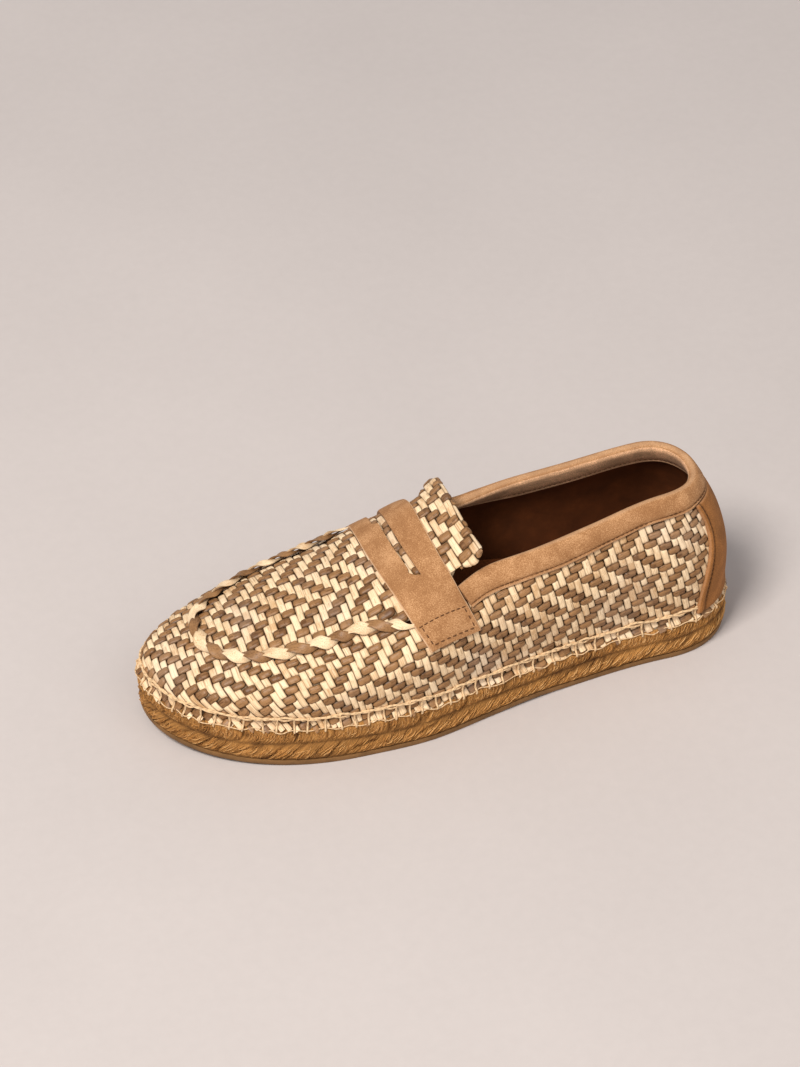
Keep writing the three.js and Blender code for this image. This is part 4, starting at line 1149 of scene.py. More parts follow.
class LOAFER_OT_sole(bpy.types.Operator):
    """Plaited rope sole with its fibres, and the rubber under it"""

    bl_idname = "loafer.sole"
    bl_label = "Rope sole"

    COLUMNS, HEIGHTS = 1400, 30
    FIBRES = 3000
    GROOVE = 0.47  # share of the rope's height where the two rows meet
    BOW, SLANT = 6.5, 11  # how far a lobe boundary runs along the sole in the upper and in the lower row

    def execute(self, context):
        last, colours = get_shoe(context)
        self.rope(last, colours)
        self.fibres(last, colours)
        self.rubber(last, colours)
        return {"FINISHED"}

    def relief(self, last, rings, height):
        """How far the plaited rope stands out, and the coordinates of its fibres, at ring places and heights.

        Each of two rows bulges between the grooves. A lobe boundary bows along the sole as it rises, and
        yarn runs beside it: nearly upright in the upper row, slanting in the lower row.
        """
        side = last.rim(rings)[0]
        outer, inner = last.walk[1]["length"], last.walk[-1]["length"]
        share = np.where(side > 0, 2 * rings, 2 - 2 * rings)
        walked = np.where(side > 0, share * outer, outer + (1 - share) * inner)
        total = outer + inner
        pitch = total / round(total / last.size.lobe_pitch)
        groove = self.GROOVE + 0.03 * np.sin(2 * np.pi * walked / total * 9)
        upper = height > groove
        local = np.where(upper, (height - groove) / (1 - groove), height / groove)
        bulge = 1 - np.abs(2 * local - 1) ** 3
        bow = np.where(upper, self.BOW * np.sin(np.pi * (0.15 + 0.75 * local)), self.SLANT * local)
        own = np.where(upper, pitch, pitch / 2)
        phase = (walked + bow + wander(walked, 55, 40, 2.5) + wander(walked + 9 * local, 56, 9, 0.8)) / own
        edge = np.exp(-((np.abs(phase - np.round(phase)) * own / np.where(upper, 1.1, 0.9)) ** 2))
        lean = np.where(upper, 0.55 * bow + 2.2 * local, 9.5 * local)
        fibre = (walked + lean + wander(walked + 5 * local, 54, 14, 0.7)) * np.where(upper, 1.0, 0.8)
        run = np.where(upper, 10 * local, 6 * local + 0.5 * walked)
        yarn = np.clip(0.5 + wander(fibre, 57, 1.9, 0.5) + wander(fibre + 3 * local, 58, 0.8, 0.3), 0, 1)
        rough = wander(walked, 51, 5.0, 0.16) * np.where(upper, 1, -0.8)
        stand = ROPE_OUT - 0.75 + 1.15 * bulge - 0.9 * edge * bulge - 0.45 * (1 - yarn) * bulge + rough
        stand = np.where(height == 0, ROPE_OUT - 0.9, stand)
        stand = mix(stand, -0.8, smooth((height - 0.83) / 0.17))
        # Painted light and shade: high where the yarn stands full on a ridge, low in the grooves.
        ridge = np.clip(bulge * (0.35 + 0.65 * yarn) * (1 - 0.9 * edge), 0, 1) - 0.5
        return stand, fibre, run, ridge

    def on_rope(self, last, rings, height, stand):
        """Points of the rope's side at ring places, shares of its height and distances from the rope line."""
        foot = lambda place: last.ground(place) + RUBBER_THICK + 0.05
        return last_ring(last, rings, stand, lambda place: mix(foot(place), last.feather(place) - 0.1, height))

    def rope(self, last, colours):
        """Two rows of plaited yarn."""
        rings = np.arange(self.COLUMNS) / self.COLUMNS
        height = np.linspace(0, 1, self.HEIGHTS)
        stand, fibre, run, ridge = self.relief(last, rings[None, :], height[:, None])
        levels = [self.on_rope(last, rings, height[i], stand[i]) for i in range(self.HEIGHTS)]
        values = {"fibre": fibre, "run": run, "ridge": ridge}
        make_piece("rope_sole", *disc(levels), jute_finish(colours), "jute_sole", ("jute_sole",), values)

    def fibres(self, last, colours):
        """Loose fibres on the rope: short bowed threads that follow the yarn with a little scatter."""
        rng = np.random.default_rng(59)
        count, steps = self.FIBRES, 6
        share = np.linspace(0, 1, steps)[None, :]
        total = last.walk[1]["length"] + last.walk[-1]["length"]
        upper = rng.random((count, 1)) < 0.5
        low = np.where(upper, 0.5, 0.02) + 0.22 * rng.random((count, 1))
        height = low + share * rng.uniform(0.12, 0.26, (count, 1))
        slope = np.where(upper, rng.normal(-3, 5, (count, 1)), rng.normal(-17, 6, (count, 1)))
        bend = rng.normal(0, 0.8, (count, 1)) * np.sin(np.pi * share)
        rings = np.mod(rng.random((count, 1)) + (slope * (height - low) + bend) / total, 1)
        stand, _, _, ridge = self.relief(last, rings, height)
        # Tone is random, plus painted light for fibres on ridges and painted shade for those in grooves.
        tone = 0.7 * rng.random((count, 1)) + 0.55 * (ridge.mean(axis=1, keepdims=True) + 0.5) - 0.1
        stand = stand + 0.05 + rng.uniform(0.0, 0.35, (count, 1)) * np.sin(np.pi * share)
        flat = [v.ravel() for v in np.broadcast_arrays(rings, height, stand)]
        path = self.on_rope(last, *flat).reshape(count, steps, 3)
        away = self.on_rope(last, flat[0], flat[1], flat[2] + 1).reshape(path.shape) - path
        beside = unit(np.cross(away, np.gradient(path, axis=1)))
        radius = rng.uniform(0.12, 0.22, (count, 1)) * (1 - 0.7 * (2 * share - 1) ** 4)
        turns = np.pi * np.array([0.5, 7 / 6, 11 / 6])[:, None]
        ring = np.sin(turns) * away[:, :, None] + np.cos(turns) * beside[:, :, None]
        points = path[:, :, None] + radius[:, :, None, None] * ring
        f = Finish("jute fibres", roughness=0.85, specular=0.2)
        light, dark = colours.jute_light, colours.jute_dark
        stops = (0.05, times(dark, 1.6)), (0.5, light), (0.95, between(light, (1, 0.78, 0.42), 0.22))
        f.to_shader("Base Color", f.ramp(f.attribute("tone"), *stops))
        whole = np.ones((count, steps), bool)
        ribbon_piece("rope_fibres", points, whole, {"tone": tone[..., None]}, f.material, "jute_sole")

    def rubber(self, last, colours):
        """Thin rubber sole: the outline with a rounded lower edge."""
        rings = np.arange(480) / 480
        profile = ((-1.2, 0), (-0.6, 0.05), (-0.3, 0.35), (-0.25, 0.9), (-0.4, 1))
        loops = [
            last_ring(last, rings, ROPE_OUT + out, lambda place, r=rise: last.ground(place) + r * RUBBER_THICK)
            for out, rise in profile
        ]
        finish = leather_finish("crepe rubber", colours.rubber, times(colours.rubber, 1.5), 0.6)
        make_piece("rubber_sole", *disc(loops), finish, "outsole", ("outsole",))


class LOAFER_OT_stitch(bpy.types.Operator):
    """Blanket stitch that holds the upper to the rope"""

    bl_idname = "loafer.stitch"
    bl_label = "Blanket stitch"

    # Running threads: girth over the rope line, sway, radius, distance from the strips and phase. Two twist
    # round each other on the upper, and a fine one ties the feet of the legs.
    THREADS = ((3.9, 0.3, 0.55, 0.9, 0.0), (3.5, 0.6, 0.45, 0.9, 2.6), (-3.1, 0.5, 0.27, 0.4, 1.3))
    TWIST = 11.5  # length of one turn of the two threads
    HEEL_PITCH = 1.75  # spacing of the legs behind the arch, as a share of that at the toe

    def execute(self, context):
        last, colours = get_shoe(context)
        finish = thread_finish("jute thread", colours.thread, 2.2)
        gather = Gather()
        total = last.walk[1]["length"] + last.walk[-1]["length"]
        rings = np.arange(900) / 900
        walked = rings * total
        for n, (level, reach, radius, stand, phase) in enumerate(self.THREADS):
            wave = 2 * np.pi * walked / self.TWIST + phase + wander(walked, 65, 50, 1.5)
            high = level + wander(walked, 61 + n, 30, 0.4) + reach * np.sin(wave)
            out = stand + 0.3 * np.cos(wave)
            gather.thread(last.cloth(rings, high, out), radius, 6, walked, closed=True)
        self.legs(last, gather, total)
        gather.piece("blanket_stitch", finish, "jute_sole")
        return {"FINISHED"}

    def legs(self, last, gather, total):
        """Short upright stitches from the running thread down over the edge of the rope."""
        rng = np.random.default_rng(70)
        places, here = [], 3.0
        while here < total - 3:
            places.append(here)
            x = float(last.rim(np.array(here / total))[1])
            wider = mix(self.HEEL_PITCH, 1.0, float(smooth((x - 60) / 90)))
            here += wider * last.size.thread_pitch * rng.uniform(0.85, 1.15)
        steps = np.linspace(0, 1, 13)
        for place in places:
            tilt = rng.uniform(-1.2, 1.2)
            ring = (place + tilt * steps) / total
            out = 1.05 - 1.3 * smooth((steps - 0.86) / 0.14)
            path = last.cloth(ring, mix(4.3, -FLANGE_WIDTH - 1.0, steps), out)
            gather.thread(path, 0.5, 6, steps * 9, up=np.array([1.0, 0.3, 0]))


def dashes(gather, path, normal, pitch, share, radius, sink=0.1):
    """Row of sewn stitches along a path: each is a thin tube that bows up and dips into the leather."""
    lengths = lengths_along(path)
    count = max(1, int(lengths[-1] / pitch))
    t = np.linspace(-1, 1, 6)
    for n in range(count):
        middle = (n + 0.5) * lengths[-1] / count
        here = middle + 0.5 * share * pitch * t
        up = unit(at_lengths(here, lengths, normal))
        line = at_lengths(here, lengths, path) + up * (radius * (0.9 - 1.6 * t ** 4) - sink)[:, None]
        gather.thread(line, radius * (1 - 0.45 * t ** 4), 5, here, up=up)


class LOAFER_OT_braid(bpy.types.Operator):
    """Two flat strands, pale and brown, twisted into the cord on the moccasin seam"""

    bl_idname = "loafer.braid"
    bl_label = "Seam braid"

    STEPS, AROUND = 460, 12  # points along a strand and round it
    SWAY, LIFT = 0.2, 0.8  # how far a strand circles the seam: share of the braid's width, and height

    def execute(self, context):
        last, colours = get_shoe(context)
        path, normal, length = self.seam(last)
        pale, brown = strip_finishes(colours, "braid strand", 6.0, 5.0)
        self.strand("braid_pale_strand", last.size, path, normal, length, 0.0, 0.98, pale, ("apron_braid",))
        self.strand("braid_brown_strand", last.size, path, normal, length, np.pi, 0.85, brown, ())
        return {"FINISHED"}

    def seam(self, last):
        """Line over the moccasin seam from the strap's front edge round the apron and back."""
        s = last.size
        strap_front = last.strap_rear + s.strap_width
        turn = np.linspace(0, np.pi / 2, 500)
        legs = []
        for side in (1, -1):
            girth = side * 1.1 * float(last.seam_edge(strap_front, side))
            start = strap_front + last.strap_drift(girth)
            x = start + (s.plug_front - 0.15 - start) * np.sin(turn)
            legs.append((x, side * last.seam_edge(x, side)))
        x = np.concatenate([legs[0][0], legs[1][0][::-1]])
        out = np.concatenate([legs[0][1], legs[1][1][::-1]])
        point = lambda a, b: last.place(a, b, last.height_at(a, b))
        path = point(x, out)
        normal = unit(np.cross(point(x + 1, out) - point(x - 1, out), point(x, out + 1) - point(x, out - 1)))
        lengths = lengths_along(path)
        even = np.linspace(0, lengths[-1], self.STEPS)
        return at_lengths(even, lengths, path), unit(at_lengths(even, lengths, normal)), even

    def strand(self, name, s, path, normal, walked, phase, broad, finish, replaces):
        """Flat strand that circles the seam line once per pitch and swells into a leaf on top of the cord.

        Its flat side turns with it, and it thins out towards both ends.
        """
        along = unit(np.gradient(path, axis=0))
        sideways = unit(np.cross(normal, along))
        size = mix(0.35, 1.0, smooth((np.minimum(walked, walked[-1] - walked) - 1.0) / 9))
        turn = 2 * np.pi * 0.93 * walked / s.braid_pitch + phase + wander(walked, 81, 60, 0.25)
        centre = (path + sideways * (size * self.SWAY * s.braid_wide * np.cos(turn))[:, None]
                  + normal * (CLEARANCE + 0.9 + size * self.LIFT * (1 + np.sin(turn)))[:, None])
        angle = 2 * np.pi * np.arange(self.AROUND) / self.AROUND
        swell = 0.3 + 0.7 * (0.5 + 0.5 * np.sin(turn)) ** 0.75
        half_wide = size * swell * broad * s.braid_wide * (0.58 + wander(walked, 83, 11, 0.06))
        half_thick = 0.55 * size
        tilt = 0.55 * np.cos(turn)
        across = sideways * np.cos(tilt)[:, None] - normal * np.sin(tilt)[:, None]
        over = sideways * np.sin(tilt)[:, None] + normal * np.cos(tilt)[:, None]
        flat = np.sign(np.cos(angle)) * np.abs(np.cos(angle)) ** 0.9
        points = (centre[:, None] + half_wide[:, None, None] * flat[:, None] * across[:, None]
                  + half_thick[:, None, None] * np.sin(angle)[:, None] * over[:, None])
        values = {
            "tone": np.repeat(0.55 + 0.2 * np.sin(turn * 0.5 + phase), self.AROUND),
            "across": np.tile(0.85 * flat, len(path)),
            "along": np.repeat(walked, self.AROUND),
            # Low swing, where the strand goes under the cord, gets painted shade.
            "swing": np.repeat(np.sin(turn) * 0.6 + 0.4, self.AROUND),
        }
        make_piece(name, points, loop_faces(len(path), self.AROUND), finish, "apron_braid", replaces, values)


class LOAFER_OT_strap(bpy.types.Operator):
    """Suede saddle strap with its slot and dark stitching"""

    bl_idname = "loafer.strap"
    bl_label = "Saddle strap"

    TIP, ROUND_END = 4.5, 2.5  # girth over which the slot's near tip and its far end close
    BAND = 12  # points across each band
    EASE = 0.32  # how far a cut edge is rounded down
    SEAM_INSET, SEAM_BOX = 2.4, 12.5  # stitching inside the edges, and the row across from the end

    def execute(self, context):
        last, colours = get_shoe(context)
        finish = suede_finish("strap suede", *suede_colours(colours), worn_edge=0.9)
        self.slab(last, finish)
        self.seams(last, colours)
        return {"FINISHED"}

    def slot_front(self, girth):
        """Slot width: narrow with a hooked near tip, and a step to a wide part that ends round."""
        near = np.clip((SLOT_OUTER - girth) / self.TIP, 0, 1) ** 0.5
        hook = 1 + 0.25 * smooth((girth - SLOT_OUTER + 8) / 4)
        far = np.sin(np.clip((girth - SLOT_INNER) / self.ROUND_END, 0, 1) * np.pi / 2)
        return mix(SLOT_NOTCH, SLOT_WIDTH, smooth((girth - SLOT_STEP + 1) / 2)) * near * hook * far

    def slab(self, last, finish):
        """Two bands of a thick sheet that meet beyond the slot, with softly rounded cut edges."""
        half = last.size.strap_width / 2
        middle, half_slot = (SLOT_OUTER + SLOT_INNER) / 2, (SLOT_OUTER - SLOT_INNER) / 2
        rows = np.concatenate([
            np.linspace(-STRAP_INNER_END, SLOT_INNER, 30)[:-1],
            middle - half_slot * np.cos(np.linspace(0, np.pi, 81)),
            np.linspace(SLOT_OUTER, STRAP_OUTER_END, 40)[1:],
        ])
        rows = np.concatenate([[-STRAP_INNER_END, -STRAP_INNER_END + 0.25], rows[1:-1],
                               [STRAP_OUTER_END - 0.25, STRAP_OUTER_END]])
        open_here = np.abs(rows - middle) < half_slot - 1e-6
        gap = np.where(open_here, self.slot_front(rows), 0)[:, None]
        lip = np.array([0, 0.05, *np.linspace(0.12, 0.88, self.BAND - 4), 0.95, 1])
        bands = (mix(-half, SLOT_REAR, lip) + 0 * gap, mix(SLOT_REAR + gap, half, lip))
        puff = 0.12 * wander(rows, 90, 26, 1.0)[:, None]
        sheets, edges, crease_shades = [], [], []
        for upper in (True, False):
            for wide, inner in zip(bands, (-1, 0)):
                eased = np.zeros((len(rows), len(lip)))
                eased[:, [0, -1]] = 1
                eased[~open_here, inner] = 0
                eased[[0, -1]] = 1
                lift = CLEARANCE + (STRAP_THICK - self.EASE * eased + puff if upper else 0 * eased)
                sheets.append(self.on_strap(last, rows[:, None], wide, lift).reshape(-1, 3))
                edge = eased if upper else np.ones_like(eased)
                edge[:, inner] = 0
                # Painted shade at the foot of the slot's walls, on the underside sheet's inner edge.
                crease = np.zeros_like(eased)
                crease[:, inner] = not upper
                edges.append(edge.ravel())
                crease_shades.append(crease.ravel())
        index = np.arange(4 * len(rows) * len(lip)).reshape(4, len(rows), len(lip))
        index[1][~open_here, 0] = index[0][~open_here, -1]
        index[3][~open_here, 0] = index[2][~open_here, -1]
        faces = []
        for g, step in ((index[0], 1), (index[2], -1), (index[1], 1), (index[3], -1)):
            quads = np.stack([g[:-1, :-1], g[:-1, 1:], g[1:, 1:], g[1:, :-1]], -1)
            faces.append(quads.reshape(-1, 4)[:, ::step])
        tops, lows = np.concatenate([index[0], index[1]], 1), np.concatenate([index[2], index[3]], 1)
        for row, step in ((0, -1), (-1, 1)):
            wall = np.stack([tops[row, :-1], tops[row, 1:], lows[row, 1:], lows[row, :-1]], -1)
            faces.append(wall[wall[:, 0] != wall[:, 1]][:, ::step])
        everywhere = np.ones(len(rows), bool)
        for sheet, column, step, here in (
            (0, 0, 1, everywhere), (1, -1, -1, everywhere), (0, -1, -1, open_here), (1, 0, 1, open_here),
        ):
            g, h = index[sheet][:, column], index[sheet + 2][:, column]
            wall = np.stack([g[:-1], g[1:], h[1:], h[:-1]], -1)
            faces.append(wall[here[:-1] | here[1:]][:, ::step])
        values = {"edge": np.concatenate(edges), "crease": np.concatenate(crease_shades)}
        make_piece("saddle_strap_suede", np.concatenate(sheets), [np.concatenate(faces)], finish,
                   "saddle_strap", ("saddle_strap",), values, 40)

    def on_strap(self, last, girth, across, lift):
        """Point of the strap: its outer end is cut on a slant and flares towards the toe."""
        half = last.size.strap_width / 2
        outer = smooth(girth / STRAP_OUTER_END)
        girth = girth - STRAP_SLANT * outer * (0.5 - 0.5 * across / half)
        across = across + STRAP_FLARE * outer * np.maximum(across, 0) / half
        return last.section_skin(last.size.strap_middle + last.strap_drift(girth) + across, girth, lift)

    def seams(self, last, colours):
        """Box of stitching at each end: a row across, and rows beside the edges and the end."""
        finish = thread_finish("seam thread", colours.seam_thread, 5.0)
        gather = Gather()
        lift = CLEARANCE + STRAP_THICK
        half = last.size.strap_width / 2
        wide = half - self.SEAM_INSET
        sweep = np.linspace(0, 1, 30)
        for end, way in ((STRAP_OUTER_END, 1), (STRAP_INNER_END, -1)):
            far, near = way * (end - self.SEAM_INSET), way * (end - self.SEAM_BOX)
            for girth, across in (
                (near + 0 * sweep, mix(1 - half, half - 1, sweep)),
                (far + 0 * sweep, mix(-wide, wide, sweep)),
                (mix(near, far, sweep), wide + 0 * sweep),
                (mix(near, far, sweep), -wide + 0 * sweep),
            ):
                path = self.on_strap(last, girth, across, lift)
                normal = self.on_strap(last, girth, across, lift + 1) - path
                dashes(gather, path, normal, 2.8, 0.78, 0.32)
        gather.piece("strap_stitching", finish, "saddle_strap")


def suede_colours(colours):
    """Nap, brushed nap and folds of the tan suede."""
    return colours.suede, colours.suede_light, colours.suede_dark


class LOAFER_OT_binding(bpy.types.Operator):
    """Suede folded over the collar, with its facing inside and its stitching"""

    bl_idname = "loafer.binding"
    bl_label = "Collar binding"

    COLUMNS = 420  # loops of the profile round the collar
    RIPPLE_RUN = 420  # length over which its slow ripples are laid out
    RIM, GROOVE = (1, 2, 11, 12), 4  # points of the profile on worn edges and in the seam's groove
    FACING, INNER_GROOVE = (13, 23), 19  # first and last point of the inner side, and its seam

    def execute(self, context):
        last, colours = get_shoe(context)
        s = last.size
        drop, high = s.binding_drop, CLEARANCE + BINDING_THICK
        back = -UPPER_WALL - CLEARANCE
        deep = back - BINDING_THICK
        lip = drop - 1.9
        profile = np.array([
            (drop, CLEARANCE + 0.5), (drop, high - 0.35), (drop - 0.5, high - 0.1), (lip + 0.6, high - 0.15),
            (lip, high - 0.5), (lip - 0.6, high - 0.05), (lip - 1.8, high + 0.3), (0.55 * drop, high + 0.5),
            (0.3 * drop, high + 0.4), (0.8, high + 0.1), (-0.45 * high, 0.8 * high), (-0.85 * high, 0.2 * high),
            (-high, -0.5 * UPPER_WALL), (-0.85 * high, -UPPER_WALL - 0.25 * high),
            (-0.45 * high, -UPPER_WALL - 0.8 * high), (0.8, deep), (0.25 * BINDING_INSIDE, deep - 0.15),
            (0.5 * BINDING_INSIDE, deep - 0.2), (BINDING_INSIDE - 3, deep - 0.1),
            (BINDING_INSIDE - 2, deep + 0.35), (BINDING_INSIDE - 1.2, deep), (BINDING_INSIDE, deep + 0.1),
            (BINDING_INSIDE, back), (0.5 * BINDING_INSIDE, back - 0.15), (-CLEARANCE, back),
            (-CLEARANCE, 1.3 * CLEARANCE), (0.5 * drop, 2.6 * CLEARANCE), (drop - 1, CLEARANCE + 0.2),
        ])
        inside = profile[:, 1] < -UPPER_WALL / 2 - 0.1
        ends = []
        for side in (1, -1):
            girth = last.seam_edge(s.throat, side) + np.maximum(0, np.where(inside, 0, profile[:, 0]))
            strap_rear = last.strap_rear + last.strap_drift(side * girth)
            ends.append(last.ring_at(side, strap_rear - 3 * CLEARANCE))
        share = np.linspace(0, 1, self.COLUMNS + 1)[:, None]
        ring = mix(ends[1][None, :] - 1, ends[0][None, :], share)
        walked = share[:, 0] * self.RIPPLE_RUN
        ripple = wander(walked, 101, 34, 0.22)[:, None] * (profile[:, 0] > 1) * (profile[:, 1] > 0)
        down, out = profile[None, :, 0] + 0 * ring, profile[None, :, 1] + ripple
        down = down * np.where((down > 1) & (out > 0), last.collar_share(ring), 1)
        wave = wander(walked, 103, 60, 0.3)[:, None] * (profile[:, 0] > drop - 3)
        points = self.over_edge(last, ring, down + wave * (down > 5), out)
        colour = suede_finish("collar suede", *suede_colours(colours))
        facing = suede_finish("collar facing suede", colours.facing, times(colours.facing, 1.7),
                              times(colours.facing, 0.5))
        number = np.arange(len(profile))
        count = self.COLUMNS + 1
        values = {"edge": np.tile(0.7 * np.isin(number, self.RIM), count),
                  # Painted shade in the groove of the outer seam.
                  "crease": np.tile(1.0 * (number == self.GROOVE), count)}
        piece = make_piece("collar_binding_suede", points, loop_faces(count, len(profile)), colour,
                           "collar_binding", ("collar_binding",), values, 60)
        piece.data.materials.append(facing)
        self.paint_facing(piece, len(profile))
        self.seams(last, colours, ends)
        return {"FINISHED"}

    def over_edge(self, last, ring, down, out):
        """Girth below the edge follows the last's skin; above it the point goes straight on over the edge."""
        top = last.top_girth(ring)
        rise = last.rise_at(ring, top - np.maximum(down, 0))
        base = last.skin(ring, rise, out)
        high = last.from_ring(last.tops, ring)
        up = unit(last.on_last(ring, high) - last.on_last(ring, high - 0.03))
        return base + up * np.maximum(-down, 0)[..., None]

    def paint_facing(self, piece, around):
        """Faces between the rim's inner edge and the foot of the inner side take the second finish."""
        mesh = piece.data
        place = np.arange(len(mesh.polygons)) % around
        quads = np.arange(len(mesh.polygons)) < self.COLUMNS * around
        facing = quads & (place >= self.FACING[0]) & (place <= self.FACING[1])
        mesh.polygons.foreach_set("material_index", facing.astype(np.int32))

    def seams(self, last, colours, ends):
        """Stitches round the collar: one row in the groove outside, and one inside."""
        finish = thread_finish("collar thread", times(colours.suede_dark, 0.55), 5.0)
        gather = Gather()
        share = np.linspace(0.004, 0.996, 700)
        high = CLEARANCE + BINDING_THICK - 0.35
        for point, down, out, way in ((self.GROOVE, last.size.binding_drop - 1.9, high, 1),
                                      (self.INNER_GROOVE, BINDING_INSIDE - 2, -UPPER_WALL - high, -1)):
            ring = mix(ends[1][point] - 1, ends[0][point], share)
            own = down * (last.collar_share(ring) if way > 0 else 1)
            rise = last.rise_at(ring, last.top_girth(ring) - own)
            normal = way * last.normal_at(ring, rise)
            dashes(gather, last.skin(ring, rise, out), normal, 2.5, 0.75, 0.2, sink=0.12)
        gather.piece("collar_stitching", finish, "collar_binding")


class LOAFER_OT_patch(bpy.types.Operator):
    """Suede strip over the heel seam with its folded, stitched edges"""

    bl_idname = "loafer.patch"
    bl_label = "Heel strip"

    ROWS, COLUMNS = 70, 121
    SEAM = 0.9  # share of the half width where the stitching runs

    def execute(self, context):
        last, colours = get_shoe(context)
        share = np.linspace(-1, 1, self.COLUMNS)[None, :]
        down = np.linspace(0, 1, self.ROWS)[:, None]
        fold = np.exp(-(((np.abs(share) - 0.955) / 0.025) ** 2))
        groove = np.exp(-(((np.abs(share) - self.SEAM) / 0.02) ** 2))
        rim = (np.abs(share) > 0.985) | (down < 0.004) | (down > 0.996)
        stand = CLEARANCE + PATCH_THICK + 0.35 * (fold - groove - rim)
        stand = stand + 0.5 * smooth((down - 0.86) / 0.14) + 0.12 * np.sin(5 * share + 9 * down)
        sheets = [self.surface(last, down, share, out).reshape(-1, 3) for out in (stand, CLEARANCE)]
        # The heel strip takes the darker copy of the suede as painted shade.
        nap = colours.heel_suede
        finish = suede_finish("heel suede", nap, times(nap, 1.45), times(nap, 0.45))
        two_sided = lambda outside, inside: np.stack([outside + 0.0 * stand, np.full_like(stand, inside)])
        # Painted shade in the grooves beside the stitching.
        values = {"edge": two_sided(0.8 * rim, 0.5), "crease": two_sided(groove, 0)}
        make_piece("heel_strip_suede", np.concatenate(sheets), sheet_faces(self.ROWS, self.COLUMNS), finish,
                   "heel_patch", ("heel_patch",), values, 60)
        thread = thread_finish("heel thread", times(colours.suede_dark, 0.55), 5.0)
        gather = Gather()
        steps = np.linspace(0.02, 0.97, 120)
        lift = CLEARANCE + PATCH_THICK - 0.3
        for across in (-self.SEAM, self.SEAM):
            path = self.surface(last, steps, across, lift)
            dashes(gather, path, self.surface(last, steps, across, lift + 1) - path, 2.5, 0.75, 0.22)
        gather.piece("heel_stitching", thread, "heel_patch")
        return {"FINISHED"}

    def surface(self, last, down, share, stand):
        """Skin behind the heel: rows go down from the binding, and the half width grows towards the sole."""
        s = last.size
        down, share, stand = np.broadcast_arrays(down, share, stand)
        girth = float(last.top_girth(np.array(0.0)))
        drop = mix(COLLAR_AT_HEEL * s.binding_drop + CLEARANCE, girth - 0.4, down)
        wide = mix(PATCH_TOP_HALF, PATCH_FOOT_HALF, smooth(down * 0.9))
        rise = last.rise_at(0.0, girth - drop)
        narrowing = np.cos(rise) ** (2 / last.roundness(0.0))
        ring = share * wide / (2 * last.walk[1]["length"] * narrowing)
        own = last.top_girth(ring)
        return last.skin(ring, last.rise_at(ring, own - drop * own / girth), stand)


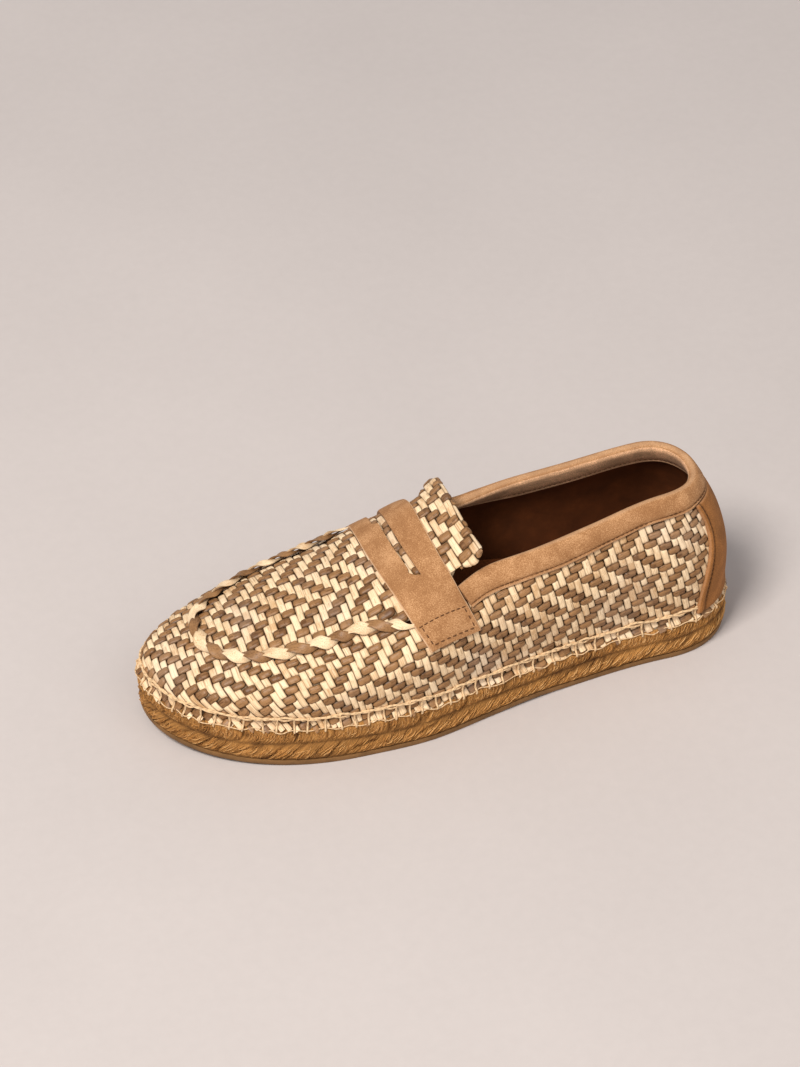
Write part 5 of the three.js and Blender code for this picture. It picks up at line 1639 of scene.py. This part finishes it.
class LOAFER_OT_stage(bpy.types.Operator):
    """Floor, soft light and the photograph's camera"""

    bl_idname = "loafer.stage"
    bl_label = "Floor, light and camera"

    def execute(self, context):
        self.floor(tuple(context.scene.loafer_colours.floor))
        self.lights(context.scene)
        self.camera(context.scene)
        context.scene.view_settings.view_transform = "Standard"
        return {"FINISHED"}

    def floor(self, colour):
        f = Finish("plaster floor", roughness=0.9, specular=0.15)
        coordinates = f.node("TexCoord", output="Object")
        slow = f.noise(coordinates, 3.0, 4.0, 0.6)
        fine = f.noise(coordinates, 160.0, 4.0, 0.65)
        mixed = f.total((slow, 0.7), (fine, 0.3))
        f.to_shader("Base Color", f.ramp(mixed, (0.3, times(colour, 0.94)), (0.7, times(colour, 1.04))))
        f.bump(fine, 0.12, 0.4)
        x, y = np.meshgrid(np.linspace(-4, 4, 9), np.linspace(-4, 4, 9), indexing="ij")
        points = np.stack([x, y, 0 * x], -1).reshape(-1, 3)
        mesh = bpy.data.meshes.new("floor")
        mesh.from_pydata(points.tolist(), [], grid_faces(9, 9).tolist())
        floor = bpy.data.objects.new("floor", mesh)
        bpy.context.scene.collection.objects.link(floor)
        mesh.materials.append(f.material)

    def lights(self, scene):
        """Large soft key from the camera's left and above, a weak fill, and an even pale sky."""
        for name, azimuth, elevation, distance, power, wide, tint in LAMPS:
            data = bpy.data.lights.new(name, "AREA")
            data.energy, data.size, data.color = power, wide, tint
            lamp = bpy.data.objects.new(name, data)
            scene.collection.objects.link(lamp)
            way = view_direction(azimuth, elevation)
            lamp.location = TARGET + distance * way
            lamp.rotation_euler = (-way).to_track_quat("-Z", "Y").to_euler()
        world = bpy.data.worlds.new("studio")
        scene.world = world
        world.use_nodes = True
        background = world.node_tree.nodes["Background"]
        background.inputs["Color"].default_value = SKY_COLOUR
        background.inputs["Strength"].default_value = SKY_STRENGTH

    def camera(self, scene):
        """Camera at the photograph's angle, turned until the target lies on its own pixel."""
        data = bpy.data.cameras.new("camera")
        data.sensor_width = 36
        data.lens = FOCAL_PIXELS * data.sensor_width / PHOTO_HEIGHT
        data.clip_start, data.clip_end = 0.05, 50
        camera = bpy.data.objects.new("camera", data)
        scene.collection.objects.link(camera)
        scene.camera = camera
        back = view_direction(CAMERA_AZIMUTH, CAMERA_ELEVATION)
        azimuth, roll = math.radians(CAMERA_AZIMUTH), math.radians(CAMERA_ROLL)
        right = Vector((math.cos(azimuth), math.sin(azimuth), 0))
        up = back.cross(right)
        rolled = right * math.cos(roll) + up * math.sin(roll)
        above = -right * math.sin(roll) + up * math.cos(roll)
        over = (TARGET_PIXEL[0] - PHOTO_WIDTH / 2) / FOCAL_PIXELS * CAMERA_DISTANCE
        under = (TARGET_PIXEL[1] - PHOTO_HEIGHT / 2) / FOCAL_PIXELS * CAMERA_DISTANCE
        place = TARGET + CAMERA_DISTANCE * back
        aim = TARGET - over * rolled + under * above
        axis = (place - aim).normalized()
        side = above.cross(axis).normalized()
        turned = Matrix((side, axis.cross(side), axis)).transposed().to_4x4()
        turned.translation = place
        camera.matrix_world = turned


def view_direction(azimuth, elevation):
    """Unit vector from the object to a camera at that azimuth and elevation, in degrees."""
    a, e = math.radians(azimuth), math.radians(elevation)
    return Vector((math.sin(a) * math.cos(e), -math.cos(a) * math.cos(e), math.sin(e)))


OPERATORS = (
    LOAFER_OT_sides,
    LOAFER_OT_apron,
    LOAFER_OT_lining,
    LOAFER_OT_sole,
    LOAFER_OT_stitch,
    LOAFER_OT_braid,
    LOAFER_OT_strap,
    LOAFER_OT_binding,
    LOAFER_OT_patch,
    LOAFER_OT_stage,
)


class LOAFER_PT_panel(bpy.types.Panel):
    """Sizes, colours and pieces of the shoe"""

    bl_label = "Loafer"
    bl_idname = "LOAFER_PT_panel"
    bl_space_type = "VIEW_3D"
    bl_region_type = "UI"
    bl_category = "Loafer"

    def draw(self, context):
        for group in (context.scene.loafer_sizes, context.scene.loafer_colours):
            box = self.layout.box()
            for name in group.__annotations__:
                box.prop(group, name)
        for operator in OPERATORS:
            self.layout.operator(operator.bl_idname)


CLASSES = (LoaferSizes, LoaferColours, *OPERATORS, LOAFER_PT_panel)


def register():
    for cls in CLASSES:
        bpy.utils.register_class(cls)
    bpy.types.Scene.loafer_sizes = bpy.props.PointerProperty(type=LoaferSizes)
    bpy.types.Scene.loafer_colours = bpy.props.PointerProperty(type=LoaferColours)


def unregister():
    del bpy.types.Scene.loafer_colours
    del bpy.types.Scene.loafer_sizes
    for cls in reversed(CLASSES):
        bpy.utils.unregister_class(cls)


def main():
    register()
    for operator in OPERATORS:
        group, name = operator.bl_idname.split(".")
        if getattr(getattr(bpy.ops, group), name)() != {"FINISHED"}:
            raise RuntimeError(f"{operator.bl_label} did not finish")


if __name__ == "__main__":
    main()
